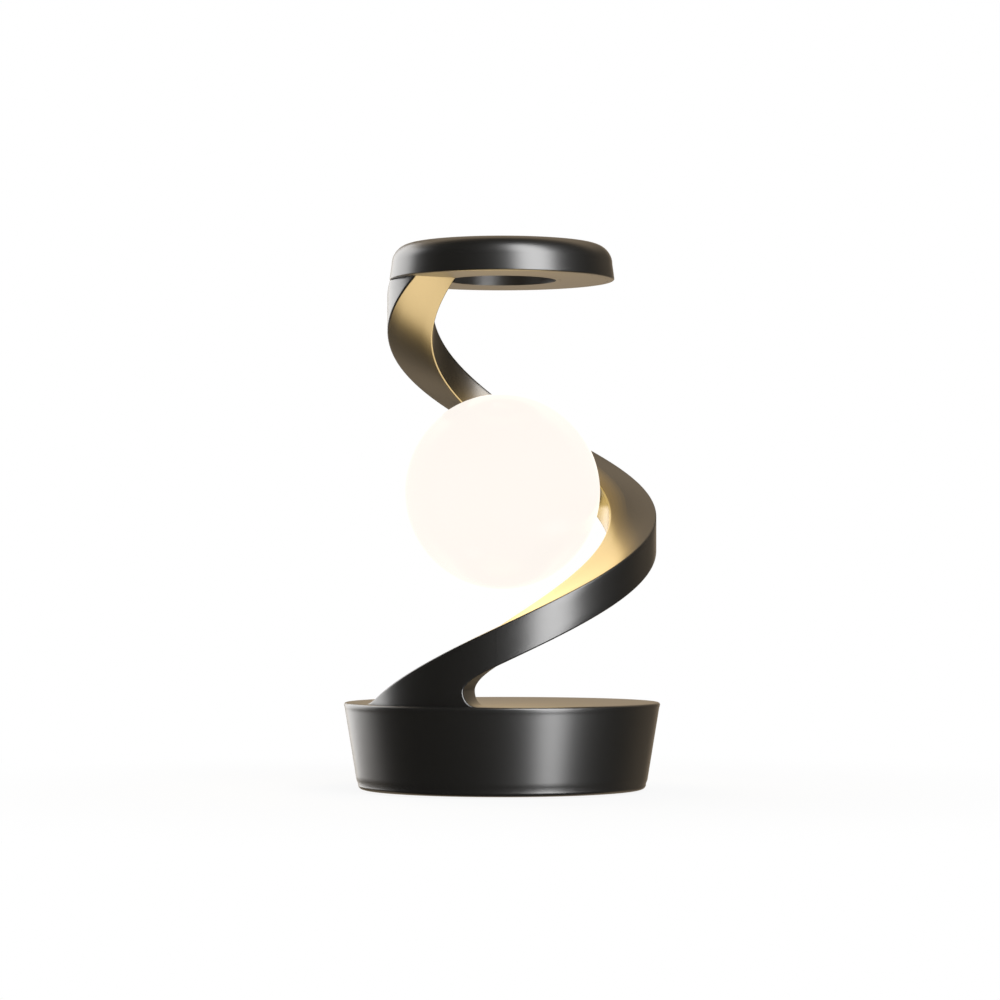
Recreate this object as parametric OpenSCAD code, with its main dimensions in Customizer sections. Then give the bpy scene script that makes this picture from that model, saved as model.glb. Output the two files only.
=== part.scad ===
// Spiral bedside lamp: a drum base, one helical arm, a ring on top and a glowing globe on a turning pivot.
// Angles round the arm start at the front (-Y) and grow anticlockwise seen from above.

/* [Lamp] */
// Height from the table to the top of the ring
lamp_h = 278; // [270:1:286]
// How far the globe's centre hangs below the middle between the deck and the ring
globe_drop = 0.4; // [0:0.1:3]

/* [Base] */
// Diameter of the base at its rim
base_d = 161.2; // [156:0.2:168]
// Diameter of the base where it meets the table
base_foot_d = 146.8; // [142:0.2:150]
// Height of the deck above the table
deck_z = 44.9; // [42:0.1:48]
// Wall of the base housing
base_wall = 2.6; // [2.2:0.1:3.2]
// Thickness of the deck
deck_t = 3; // [2.8:0.1:3.6]
// Rounding of the rim
rim_round = 1.2; // [0.8:0.1:1.6]
// Rounding where the wall turns under the base
skirt_round = 2.6; // [1.6:0.1:2.6]
// Thickness of the bottom plate
plate_t = 2.4; // [2.2:0.1:3]
// Room between the steel weight and the screw bosses
weight_room = 4.5; // [2:0.5:12]
// Thickness of the steel weight
weight_t = 8; // [6:0.5:10]
// How far the rubber pads stand out under the plate
pad_proud = 0.8; // [0.6:0.1:1.2]
// Diameter of a rubber pad
pad_d = 14; // [11:0.5:16]

/* [Arm] */
// Radial width of the band
arm_w = 23.8; // [22.5:0.1:25]
// Upright height of the band
arm_h = 19; // [18.4:0.1:20]
// Rounding of the band's long edges
arm_edge = 1; // [0.6:0.1:1.2]
// Wall of the band's channel
arm_wall = 2.4; // [2:0.1:2.6]
// Height of the band's top edge at the front
arm_front_z = 85.2; // [83:0.1:88]
// Angle at which the band's underside reaches the ring
arm_end_angle = 302.3; // [296:0.1:308]
// How far the foot's outer wall stands in from the rim
foot_inset = 6; // [5:0.1:7]
// Room between the globe's size and the band at the right front
arm_room = 5.5; // [5:0.1:7]
// How far the band draws in between the right front and the back
arm_draw_in = 7.8; // [7:0.1:8.2]
// Radius at the bottom of the notch under the band
notch_r = 7.6; // [6:0.1:8]
// Distance along the rim from the band's lower corner to the back of the notch
notch_back = 26.4; // [25:0.1:28]
// Length over which the notch runs out into the underside
notch_run = 14.7; // [12:0.1:16]

/* [Ring] */
// Diameter of the ring at its underside
ring_d = 114.6; // [110:0.2:118]
// Height of the ring
ring_h = 18.1; // [17:0.1:19]
// Diameter of the hole through the ring
ring_hole_d = 55; // [52:0.2:57]
// Rounding of the ring's top edge
ring_round = 10; // [8:0.1:10.5]
// How far the ring's wall leans in from the underside to the rounding
ring_lean = 1; // [0.4:0.1:1.4]
// Wall of the ring's housing
ring_wall = 2.4; // [2:0.1:2.8]
// Thickness of the plate under the ring
underplate_t = 2.4; // [2:0.1:2.8]

/* [Globe] */
// Diameter of the globe
globe_d = 100; // [98:0.2:101]
// Wall of the globe
globe_wall = 2.4; // [2:0.1:2.8]
// Diameter of the opening in the globe's neck
neck_d = 34; // [30:0.5:35]
// Outer diameter of the hollow pivot tube
tube_d = 6; // [5.4:0.1:6.4]
// Bore of the pivot tube
tube_bore_d = 4; // [3.6:0.1:4.4]

/* [Rear panel] */
// Width of the recess at the back of the base
panel_w = 44; // [40:1:48]
// Height of the recess
panel_h = 17; // [16:0.5:18]
// Height of the recess's lower edge above the table
panel_z = 19; // [18:0.5:20]
// Diameter of the push button
button_d = 8; // [7:0.1:9]
// Travel of the push button
button_travel = 1; // [0.8:0.1:1.2]

/* [Hidden] */
$fn = 96;

// Clearances and overruns
seam_gap = 0.1;
fit_gap = 0.05;
run_gap = 0.1;
loose_gap = 0.2;
over = 1;

// Base, worked out from its rim
base_r = base_d / 2;
base_foot_r = base_foot_d / 2;
base_z = pad_proud;
base_slope_share = (base_r - base_foot_r) / (deck_z - base_z);
plate_top_z = base_z + plate_t;
ledge_w = 3.4;
ledge_t = 2;
plate_r = base_foot_r - skirt_round - seam_gap;
roof_z = deck_z - deck_t;
foot_sink = 2.6;

// Screws shared by the base, the ring and the light
screw_r = 1.2;
screw_head_r = 2.6;
screw_head_t = 1.6;
screw_hole_r = screw_r + fit_gap;
screw_pass_r = screw_r + loose_gap;
boss_r = 4;
boss_depth = 12;
plate_boss_share = 0.8;
plate_boss_r = plate_r * plate_boss_share;
plate_screw_count = 3;
plate_screw_l = 10;
weight_r = plate_boss_r - boss_r - weight_room;
weight_screw_share = 0.6;
weight_screw_r = weight_r * weight_screw_share;
weight_screw_l = 7;
weight_screw_count = 3;
pad_count = 4;
pad_first_angle = 45;
pad_ring_share = 0.72;
pad_ring_r = plate_r * pad_ring_share;
pad_t = 2;
pad_draft = 0.6;

// Arm, worked out from the base, the globe and the ring
ring_z = lamp_h - ring_h;
globe_z = (deck_z + ring_z) / 2 - globe_drop;
ring_r = ring_d / 2;
ring_hole_r = ring_hole_d / 2;
globe_r = globe_d / 2;
arm_slope = (ring_z - arm_front_z + arm_h) / arm_end_angle;
arm_first_share = 0.2;
arm_first_a = -arm_end_angle * arm_first_share;
arm_step_a = (arm_end_angle - arm_first_a) / 3;
arm_foot_r = base_r - foot_inset;
arm_front_r = globe_r + arm_room + arm_w;
arm_back_r = arm_front_r - arm_draw_in;
arm_top_r = ring_hole_r + arm_w;
foot_tip_a = (deck_z - arm_front_z) / arm_slope;
foot_corner_a = (deck_z - arm_front_z + arm_h) / arm_slope;
foot_blend_share = 0.1;
foot_blend_a = -foot_tip_a * foot_blend_share;
notch_back_a = foot_corner_a + arc_a(notch_back);
notch_toe_a = notch_back_a + arc_a(notch_r);
notch_run_a = notch_back_a + arc_a(notch_run);
seam_a = notch_run_a + arc_a(arm_wall);
cover_t = 2.2;
lip_t = 1.4;
arm_turns_steps = 54;
arm_past_a = arm_end_angle + arc_a(over);
arm_start_a = seam_a + arc_a(seam_gap);
arm_turn_a = (arm_past_a - arm_start_a) / arm_turns_steps;
spigot_steps = 2;
spigot_end_a = arm_start_a + spigot_steps * arm_turn_a;
block_steps = 8;
foot_steps = 12;
toe_steps = 4;
rim_steps = 5;
run_steps = 6;

// Globe pivot, worked out from the place where the band's middle is level with the globe's centre
pivot_a = (globe_z - arm_front_z + arm_h / 2) / arm_slope;
tube_r = tube_d / 2;
tube_bore_r = tube_bore_d / 2;
arm_in_pivot_r = arm_in_r(pivot_a);
seat_proud = 0.5;
seat_r = 6.6;
seat_front = arm_in_pivot_r - seat_proud;
seat_back = arm_in_pivot_r + cover_t + seat_proud;
bush_r = 4.4;
bush_flange_r = 5.8;
bush_flange_t = 1.2;
peg_r = 0.6;
peg_ring_r = 4.8;
stop_t = 0.8;
stop_r = 3.9;
stop_half_angle = 6;
peg_h = stop_t - run_gap;
wave_t = 0.8;
wave_r = 5;
lock_nut_r = 5.2;
lock_nut_t = 3;
tube_end = 1;
bush_back = seat_back + bush_flange_t;
stop_z = bush_back + run_gap;
wave_z = stop_z + stop_t;
lock_nut_z = wave_z + wave_t;
tube_top_z = lock_nut_z + lock_nut_t + tube_end;
friction_t = 0.8;
friction_r = 6.5;
hub_z = seat_front - run_gap - friction_t;
hub_r = 7;
hub_edge = 0.5;
neck_r = neck_d / 2;
rim_w = 1.4;
neck_rim_r = neck_r + rim_w;
neck_z = sqrt(pow(globe_r, 2) - pow(neck_rim_r, 2));
neck_t = 3;
globe_in_r = globe_r - globe_wall;
land_z = neck_z - neck_t;
land_r = sqrt(pow(globe_in_r, 2) - pow(land_z, 2));
lug_w = 1;
lug_t = 1.4;
lug_angle = 30;
lug_notch_angle = 36;
lugs = 3;
lug_first_angle = 30;
spigot_r = neck_r - loose_gap;
cap_in_z = land_z - loose_gap - lug_t;
nut_r = 5.6;
nut_t = 2.6;
sink_t = 4;
sink_room = 1;
sink_r = neck_r - sink_room;
sink_hole_r = nut_r + hub_edge;
board_t = 1.6;
chip_w = 3.2;
chip_t = 0.8;
chips = 8;
chip_share = 0.78;
led_screw_share = 0.66;
led_screw_l = 9;
sink_z = cap_in_z - sink_t;
led_z = sink_z - board_t;
lead_r = 1.1;

// Rear panel, board, switch and inlet
panel_t = 2.4;
panel_side = 3;
panel_depth = 1;
panel_wall_r = base_foot_r + base_slope_share * (panel_z - base_z);
panel_y = sqrt(pow(panel_wall_r, 2) - pow(panel_w / 2, 2)) - panel_depth;
pcb_w = 52;
pcb_l = 34;
pcb_z = 24;
pcb_gap = 2.5;
pcb_back_y = panel_y - panel_t - pcb_gap;
pcb_post_r = 3;
pcb_post_in = 4;
pcb_top_z = pcb_z + board_t;
pcb_screw_l = 8;
inlet_w = 8.9;
inlet_h = 3.3;
inlet_l = 7.3;
inlet_skin = 0.4;
inlet_tongue_w = 6.4;
inlet_tongue_t = 0.7;
inlet_tongue_back = 1;
inlet_x = 9;
switch_w = 6;
switch_l = 4.6;
switch_x = -11;
switch_z = pcb_top_z + switch_w / 2;
plunger_r = 1.7;
plunger_l = 3.4;
plunger_in = 1.8;
button_r = button_d / 2;
button_proud = 1.6;
button_flange_w = 1.4;
button_flange_t = 1;
button_flange_y = panel_y - panel_t - run_gap - button_flange_t;
stem_l = 2;
stem_y = button_flange_y - stem_l;
switch_front_y = stem_y - plunger_l + plunger_in;
plug_w = 6;
plug_l = 5;
plug_h = 5;
plug_x = 8;
coil_r = 5;
coil_h = 6;
coil_x = -14;
chip_l = 8;
chip_h = 1.5;
cap_r = 4;
cap_h = 11;
cap_x = 2;

// Snap hooks of the plate under the ring
hook_t = 1.2;
hook_h = 6;
hook_nose = 0.9;
hook_nose_h = 1.6;
hook_angle = 14;
hooks = 4;
hook_first_angle = 20;
ring_screw_share = 0.25;
ring_screw_l = 8;
ring_screw_back_angle = 20.3;

// The lead from the board up to the pivot
wire_r = 1.4;
wire_sides = 8;
wire_hole_r = 2.4;
rod_seam_angle = 90;
wire_steps = 4;
wire_run = 33;
wire_low_a = notch_back_a - arc_a(wire_run);
wire_lead = 6;
wire_end_l = 1.6;
wire_bend_share = 0.7;
wire_turns = 8;
ring_edge = 0.8;
hook_gap = 0.3;

/* Functions for the arm */

// Degrees of turn for a length along the arm's outer wall at the foot
function arc_a(l) = l / arm_front_r * 180 / PI;

// Point at a radius, an angle from the front and a height
function polar(r, a, z) = [r * sin(a), -r * cos(a), z];

// Outer radius of the band: the cubic through its four named radii, one step of angle apart
function arm_out_r(a) =
    let (t = (a - arm_first_a) / arm_step_a)
    (-arm_foot_r * (t - 1) * (t - 2) * (t - 3)
     + 3 * arm_front_r * t * (t - 2) * (t - 3)
     - 3 * arm_back_r * t * (t - 1) * (t - 3)
     + arm_top_r * t * (t - 1) * (t - 2)) / 6;
function arm_in_r(a) = arm_out_r(a) - arm_w;
function arm_top_z(a) = arm_front_z + arm_slope * a;
function arm_bot_z(a) = arm_top_z(a) - arm_h;
function arm_mid_z(a) = arm_top_z(a) - arm_h / 2;

// Quarter of a circle as a list of points
function quarter(x, y, r, from, n = 2) = [for (i = [0:n]) let (t = from + 90 * i / n)
    [x + r * cos(t), y + r * sin(t)]];

// Sweeps a section along the band: x is measured outward from the inner wall, y up from the underside.
// Each twisted strip is split the same way wherever it lies, so that what fits inside follows the channel.
module arm_sweep(section, from, to, steps) {
    n = len(section);
    points = [for (i = [0:steps]) let (a = from + (to - from) * i / steps) for (p = section)
        polar(arm_in_r(a) + p[0], a, arm_bot_z(a) + p[1])];
    start = [for (j = [n - 1:-1:0]) j];
    end = [for (j = [0:n - 1]) steps * n + j];
    rises = [for (j = [0:n - 1]) let (d = section[(j + 1) % n] - section[j]) d[0] + d[1] > 0];
    sides = [for (i = [0:steps - 1]) for (j = [0:n - 1]) let (
        k = (j + 1) % n, p = i * n + j, q = i * n + k, r = (i + 1) * n + k, s = (i + 1) * n + j)
        each rises[j] ? [[p, q, r], [p, r, s]] : [[p, q, s], [q, r, s]]];
    polyhedron(points = points, faces = concat([start, end], sides), convexity = 8);
}

// Section of the channel, open towards the globe, with lips that the cover sits between
channel_section = concat(
    quarter(arm_w - arm_edge, arm_edge, arm_edge, -90),
    quarter(arm_w - arm_edge, arm_h - arm_edge, arm_edge, 0),
    quarter(arm_edge, arm_h - arm_edge, arm_edge, 90),
    [[0, arm_h - lip_t], [cover_t, arm_h - lip_t], [cover_t, arm_h - arm_wall],
     [arm_w - arm_wall, arm_h - arm_wall], [arm_w - arm_wall, arm_wall],
     [cover_t, arm_wall], [cover_t, lip_t], [0, lip_t]],
    quarter(arm_edge, arm_edge, arm_edge, 180));
cover_section = [[0, lip_t + seam_gap], [cover_t, lip_t + seam_gap],
                 [cover_t, arm_h - lip_t - seam_gap], [0, arm_h - lip_t - seam_gap]];
core_section = [[cover_t + seam_gap, arm_wall + seam_gap],
                [arm_w - arm_wall - seam_gap, arm_wall + seam_gap],
                [arm_w - arm_wall - seam_gap, arm_h - arm_wall - seam_gap],
                [cover_t + seam_gap, arm_h - arm_wall - seam_gap]];

// Outline of the foot, unrolled: angle and height of its buried edge, its toe, its notch and its top
foot_first_a = foot_tip_a - foot_blend_a;
function foot_top_z(a) = a > foot_tip_a + foot_blend_a ? arm_top_z(a)
    : deck_z + arm_slope * pow(a - foot_first_a, 2) / (4 * foot_blend_a);
foot_left_as = [for (i = [0:foot_steps]) foot_first_a + (notch_back_a - foot_first_a) * i / foot_steps];
foot_toe = [for (j = [0:toe_steps]) let (t = 90 * j / toe_steps)
    [notch_toe_a - (notch_toe_a - notch_back_a) * cos(t), deck_z + notch_r * (1 - sin(t))]];
foot_run = [for (k = [1:run_steps]) let (t = k / run_steps)
    [notch_back_a + (notch_run_a - notch_back_a) * t * t,
     pow(1 - t, 2) * (deck_z + notch_r) + 2 * t * (1 - t) * arm_bot_z(notch_back_a)
     + t * t * arm_bot_z(notch_run_a)]];
foot_under = concat(foot_run, [[seam_a, arm_bot_z(seam_a)]]);
foot_bottom = concat([for (a = foot_left_as) [a, deck_z - foot_sink]],
                     [for (j = [1:toe_steps]) [foot_toe[j][0], deck_z - foot_sink]]);
foot_top = concat([for (a = foot_left_as) [a, foot_top_z(a)]],
                  [for (p = foot_under) [p[0], arm_top_z(p[0])]]);
foot_loop = concat(foot_bottom,
                   [for (j = [toe_steps:-1:0]) foot_toe[j]],
                   foot_under,
                   [for (i = [len(foot_top) - 1:-1:0]) foot_top[i]]);

// Index of each outline point in the loop, by the chain that it belongs to
function foot_b(i) = i;
function foot_q(j) = foot_steps + 2 * toe_steps + 1 - j;
function foot_v(k) = k == 0 ? foot_q(0) : foot_q(0) + k;
function foot_t(i) = len(foot_loop) - 1 - i;

// Inward direction at an outline point, level with the end face at the seam and none along the buried edge
function foot_normal(i) =
    let (n = len(foot_loop), b = foot_loop[(i + n - 1) % n], c = foot_loop[(i + 1) % n],
         s = (c[0] - b[0]) / arc_a(1), z = c[1] - b[1], l = norm([s, z]))
    i < len(foot_bottom) ? [0, 0]
    : i == foot_v(len(foot_under)) ? [0, 1]
    : i == foot_v(len(foot_under)) + 1 ? [0, -1]
    : [-z / l * arc_a(1), s / l];

// The foot: the unrolled outline wrapped round the base, with rounded long edges
module foot_solid() {
    n = len(foot_loop);
    right = len(foot_under);
    soft = arm_edge * (1 - sin(45));
    rings = [[arm_w, arm_edge], [arm_w - soft, soft], [arm_w - arm_edge, 0],
             [arm_edge, 0], [soft, soft], [0, arm_edge]];
    points = [for (ring = rings) for (i = [0:n - 1]) let (q = foot_loop[i] + ring[1] * foot_normal(i))
        polar(arm_in_r(q[0]) + ring[0], q[0], q[1])];
    sides = [for (k = [0:len(rings) - 2]) for (i = [0:n - 1]) let (j = (i + 1) % n, p = k * n, q = p + n)
        each [[p + i, p + j, q + j], [p + i, q + j, q + i]]];
    columns = concat(
        [for (i = [0:foot_steps - 2]) [foot_b(i), foot_t(i), foot_t(i + 1), foot_b(i + 1)]],
        [[foot_b(foot_steps - 1), foot_t(foot_steps - 1), foot_t(foot_steps), foot_v(0)]],
        [for (j = [0:toe_steps - 1])
            [foot_b(foot_steps + j), foot_q(j), foot_q(j + 1), foot_b(foot_steps + j + 1)]],
        [for (k = [0:right - 1])
            [foot_v(k), foot_t(foot_steps + k), foot_t(foot_steps + k + 1), foot_v(k + 1)]]);
    wall = concat([for (c = columns) each [[c[0], c[1], c[2]], [c[0], c[2], c[3]]]],
                  [[foot_b(foot_steps - 1), foot_v(0), foot_b(foot_steps)]]);
    inner = (len(rings) - 1) * n;
    polyhedron(points = points,
               faces = concat(sides, wall, [for (f = wall) [inner + f[2], inner + f[1], inner + f[0]]]),
               convexity = 8);
}

// Straight rod between two points
module rod(p, q, r) {
    d = q - p;
    translate(p) rotate([0, acos(d[2] / norm(d)), atan2(d[1], d[0])]) rotate([0, 0, rod_seam_angle])
        cylinder(r = r, h = norm(d));
}

// Tube along a list of points, with an upright seam
module tube_along(route, r, sides) {
    n = len(route);
    points = [for (i = [0:n - 1]) let (
        d = route[min(i + 1, n - 1)] - route[max(i - 1, 0)],
        u = cross(d, [0, 0, 1]) / norm(cross(d, [0, 0, 1])),
        v = cross(u, d) / norm(cross(u, d)))
        for (j = [0:sides - 1]) route[i] + r * (cos(360 * j / sides) * u + sin(360 * j / sides) * v)];
    sides_f = [for (i = [0:n - 2]) for (j = [0:sides - 1]) let (k = (j + 1) % sides, p = i * sides)
        each [[p + j, p + k, p + sides + k], [p + j, p + sides + k, p + sides + j]]];
    start = [for (j = [sides - 1:-1:0]) j];
    end = [for (j = [0:sides - 1]) (n - 1) * sides + j];
    polyhedron(points = points, faces = concat([start, end], sides_f), convexity = 8);
}

// Smooth curve through a list of points
function smooth(p, n) = concat([for (i = [0:len(p) - 2]) for (k = [0:n - 1]) let (
    t = k / n, a = p[max(i - 1, 0)], b = p[i], c = p[i + 1], d = p[min(i + 2, len(p) - 1)])
    (2 * b + (c - a) * t + (2 * a - 5 * b + 4 * c - d) * t * t + (3 * b - a - 3 * c + d) * t * t * t) / 2],
    [p[len(p) - 1]]);

// Countersunk screw, its head down, its point up
module screw(l) {
    cylinder(r1 = screw_head_r, r2 = screw_r, h = screw_head_t);
    cylinder(r = screw_r, h = l);
}
module screw_seat(l) {
    translate([0, 0, -over]) cylinder(r = screw_head_r + fit_gap, h = over);
    cylinder(r1 = screw_head_r + fit_gap, r2 = screw_pass_r, h = screw_head_t);
    cylinder(r = screw_pass_r, h = l);
}

// Pan head screw, its head at the bottom
module pan_screw(l) {
    cylinder(r = screw_head_r, h = screw_head_t);
    cylinder(r = screw_r, h = screw_head_t + l);
}

module round_places(r, count, first = 0) {
    for (i = [0:count - 1]) rotate([0, 0, first + 360 * i / count]) translate([0, -r, 0]) children();
}
module plate_screw_places() round_places(plate_boss_r, plate_screw_count) children();
module weight_screw_places() round_places(weight_screw_r, weight_screw_count) children();
module pcb_post_places() {
    for (x = [-1, 1]) for (y = [0, 1])
        translate([x * (pcb_w / 2 - pcb_post_in), pcb_back_y - pcb_post_in - y * (pcb_l - 2 * pcb_post_in),
                   0]) children();
}

// Frame of the globe's pivot: z runs from the globe's centre out to the arm
module at_pivot() translate([0, 0, globe_z]) rotate([90, 0, pivot_a]) children();

// Where the lead passes through the deck and through the foot
wire_top_a = spigot_end_a + arc_a(over);
wire_low = polar(arm_in_r(wire_low_a) + arm_w / 2, wire_low_a, roof_z - over);
wire_high = polar(arm_in_r(wire_top_a) + arm_w / 2, wire_top_a, arm_mid_z(wire_top_a));

// Outline of the drum: skirt, tapered wall, rounded rim and deck
drum_lean = atan(base_slope_share);
drum_profile = concat(
    [[0, base_z], [base_foot_r - skirt_round, base_z]],
    [for (t = [-90:15:0]) [base_foot_r - skirt_round + skirt_round * cos(t + drum_lean * (t + 90) / 90),
                           base_z + skirt_round + skirt_round * sin(t)]],
    quarter(base_r - rim_round, deck_z - rim_round, rim_round, 0, rim_steps),
    [[0, deck_z]]);
function drum_r(z) = base_foot_r + base_slope_share * (z - base_z);
drum_hollow = [
    [0, base_z - over], [plate_r + seam_gap, base_z - over], [plate_r + seam_gap, plate_top_z],
    [plate_r - ledge_w, plate_top_z], [plate_r - ledge_w, plate_top_z + ledge_t],
    [drum_r(plate_top_z + ledge_t) - base_wall, plate_top_z + ledge_t],
    [drum_r(roof_z) - base_wall, roof_z], [0, roof_z]];

module base_housing() color("#1d1c1a") difference() {
    union() {
        difference() {
            rotate_extrude() polygon(drum_profile);
            rotate_extrude() polygon(drum_hollow);
        }
        intersection() {
            rotate_extrude() polygon(drum_profile);
            translate([-panel_w / 2 - panel_side, panel_y - panel_t, panel_z - panel_side])
                cube([panel_w + 2 * panel_side, base_r, panel_h + 2 * panel_side]);
        }
        plate_screw_places() translate([0, 0, plate_top_z])
            cylinder(r = boss_r, h = roof_z - plate_top_z + over);
        pcb_post_places() translate([0, 0, pcb_top_z])
            cylinder(r = pcb_post_r, h = roof_z - pcb_top_z + over);
        foot_solid();
        arm_sweep(core_section, arm_start_a - arm_turn_a, spigot_end_a, spigot_steps + 1);
    }
    translate([-panel_w / 2, panel_y, panel_z]) cube([panel_w, base_r, panel_h]);
    plate_screw_places() translate([0, 0, plate_top_z - over])
        cylinder(r = screw_hole_r, h = boss_depth + over);
    pcb_post_places() translate([0, 0, pcb_top_z - over])
        cylinder(r = screw_hole_r, h = boss_depth + over);
    translate([switch_x, panel_y - panel_t - over, switch_z]) rotate([-90, 0, 0])
        cylinder(r = button_r + run_gap, h = panel_t + 2 * over);
    translate([inlet_x, panel_y - panel_t - over, pcb_top_z]) inlet_shape(panel_t + 2 * over, loose_gap);
    rod(wire_low - boss_r * wire_dir, wire_high + over * wire_dir, wire_hole_r);
}

module base_plate() color("#2b2a29") difference() {
    translate([0, 0, base_z]) cylinder(r = plate_r, h = plate_t);
    round_places(pad_ring_r, pad_count, pad_first_angle) translate([0, 0, base_z - over])
        cylinder(r = pad_d / 2 + fit_gap, h = over + pad_t - pad_proud);
    plate_screw_places() translate([0, 0, base_z]) screw_seat(plate_t + over);
    weight_screw_places() translate([0, 0, base_z]) screw_seat(plate_t + over);
}

module counterweight() color("#8a8d90") difference() {
    translate([0, 0, plate_top_z]) cylinder(r = weight_r, h = weight_t);
    weight_screw_places() translate([0, 0, plate_top_z - over])
        cylinder(r = screw_hole_r, h = weight_t + 2 * over);
}

module weight_screws() color("#9a9c9f") weight_screw_places()
    translate([0, 0, base_z]) screw(weight_screw_l);

module plate_screws() color("#9a9c9f") plate_screw_places()
    translate([0, 0, base_z]) screw(plate_screw_l);

module rubber_pads() color("#161616") round_places(pad_ring_r, pad_count, pad_first_angle) union() {
    cylinder(r1 = pad_d / 2 - pad_draft, r2 = pad_d / 2, h = pad_draft);
    translate([0, 0, pad_draft]) cylinder(r = pad_d / 2, h = pad_t - pad_draft);
}

// Rounded slot of the power inlet, running back to front along +Y, resting on z = 0
module inlet_shape(l, grow = 0) translate([0, 0, inlet_h / 2]) rotate([-90, 0, 0]) linear_extrude(l) {
    for (s = [-1, 1]) translate([s * (inlet_w - inlet_h) / 2, 0]) circle(r = inlet_h / 2 + grow);
    square([inlet_w - inlet_h, inlet_h + 2 * grow], center = true);
}

module driver_board() color("#1f5a3a") union() {
    difference() {
        translate([-pcb_w / 2, pcb_back_y - pcb_l, pcb_z]) cube([pcb_w, pcb_l, board_t]);
        pcb_post_places() translate([0, 0, pcb_z - over])
            cylinder(r = screw_pass_r, h = board_t + 2 * over);
    }
    translate([plug_x - plug_w / 2, pcb_back_y - pcb_l, pcb_top_z]) cube([plug_w, plug_l, plug_h]);
    translate([coil_x, pcb_back_y - pcb_l / 2 - coil_r, pcb_top_z]) cylinder(r = coil_r, h = coil_h);
    translate([cap_x, pcb_back_y - pcb_l / 2 - coil_r, pcb_top_z]) cylinder(r = cap_r, h = cap_h);
    translate([-chip_l / 2, pcb_back_y - chip_l * 2, pcb_top_z]) cube([chip_l, chip_l, chip_h]);
}

module board_screws() color("#9a9c9f") pcb_post_places()
    translate([0, 0, pcb_z - screw_head_t]) pan_screw(pcb_screw_l);

inlet_back_y = panel_y - loose_gap - inlet_l;
module power_inlet() color("#b9bcc0") translate([inlet_x, inlet_back_y, pcb_top_z]) union() {
    difference() {
        inlet_shape(inlet_l);
        translate([0, inlet_skin, 0]) inlet_shape(inlet_l, -inlet_skin);
    }
    translate([-inlet_tongue_w / 2, 0, (inlet_h - inlet_tongue_t) / 2])
        cube([inlet_tongue_w, inlet_l - inlet_tongue_back, inlet_tongue_t]);
}

// Round pieces of the button run towards the front of the lamp from a given depth
module button_rod(y, r, l) translate([switch_x, y, switch_z]) rotate([-90, 0, 0]) cylinder(r = r, h = l);

module tact_switch() color("#303236") difference() {
    translate([switch_x - switch_w / 2, switch_front_y - switch_l, pcb_top_z])
        cube([switch_w, switch_l, switch_w]);
    button_rod(switch_front_y - plunger_in - button_travel - loose_gap, plunger_r + fit_gap, switch_l);
}

module switch_plunger() color("#d9d4c8") button_rod(stem_y - plunger_l, plunger_r, plunger_l);

module power_button() color("#242321") union() {
    button_rod(stem_y, plunger_r, stem_l + fit_gap);
    button_rod(button_flange_y, button_r + button_flange_w, button_flange_t);
    button_rod(button_flange_y, button_r, panel_y + button_proud - button_flange_y);
}

// Everything above the ring's underside, cut from the arm so that it ends flat against the ring
module above_ring() translate([-base_r, -base_r, ring_z]) cube([2 * base_r, 2 * base_r, 2 * ring_h]);

module arm_shell() color("#1d1c1a") difference() {
    arm_sweep(channel_section, arm_start_a, arm_past_a, arm_turns_steps);
    above_ring();
}

module arm_cover() color("#23211e") difference() {
    union() {
        arm_sweep(cover_section, arm_start_a, arm_past_a, arm_turns_steps);
        at_pivot() translate([0, 0, seat_front]) cylinder(r = seat_r, h = seat_proud + cover_t / 2);
        at_pivot() translate([0, 0, seat_front]) cylinder(r = bush_flange_r, h = seat_back - seat_front);
    }
    at_pivot() translate([0, 0, seat_front - over])
        cylinder(r = bush_r, h = seat_back - seat_front + 2 * over);
    at_pivot() translate([0, 0, seat_front - 2 * over]) cylinder(r = seat_r + loose_gap, h = 2 * over);
    above_ring();
}

// Point beside the pivot: t runs along the band, z outward from the globe's centre
pivot_slope = atan(arm_slope * 180 / PI / (arm_in_pivot_r + arm_w / 2));
function pivot_point(t, z) = let (x = t * cos(pivot_slope))
    [z * sin(pivot_a) + x * cos(pivot_a), -z * cos(pivot_a) + x * sin(pivot_a),
     globe_z + t * sin(pivot_slope)];

wire_dir = (wire_high - wire_low) / norm(wire_high - wire_low);
wire_start = [plug_x, pcb_back_y - pcb_l, pcb_top_z + plug_h / 2];
wire_stack_z = tube_top_z + loose_gap + wire_end_l;
wire_bend = (arm_in_pivot_r + arm_w - arm_wall - wire_r - wire_stack_z) * wire_bend_share;
wire_bend_z = wire_stack_z + wire_bend;
wire_out_l = wire_bend_z - arm_in_pivot_r - arm_w / 2;
wire_last_a = pivot_a - arc_a(2 * wire_bend);
wire_route = concat(
    [wire_start],
    smooth([wire_start - [0, wire_r, 0], wire_start - [0, 2 * wire_lead, 0],
            [0, 0, wire_start[2] - wire_lead],
            wire_low - 2 * wire_lead * wire_dir, wire_low - wire_lead * wire_dir], wire_steps),
    smooth(concat(
        [wire_high],
        [for (i = [1:wire_turns]) let (a = wire_top_a + (wire_last_a - wire_top_a) * i / wire_turns)
            polar(arm_in_r(a) + arm_w / 2 + wire_out_l * i / wire_turns, a, arm_mid_z(a))],
        [for (t = [0:30:90])
            pivot_point(-wire_bend * (1 - sin(t)), wire_bend_z - wire_bend * (1 - cos(t)))]),
        wire_steps),
    [pivot_point(0, tube_top_z + loose_gap)]);

module arm_wire() color("#e6e2da") tube_along(wire_route, wire_r, wire_sides);

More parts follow.
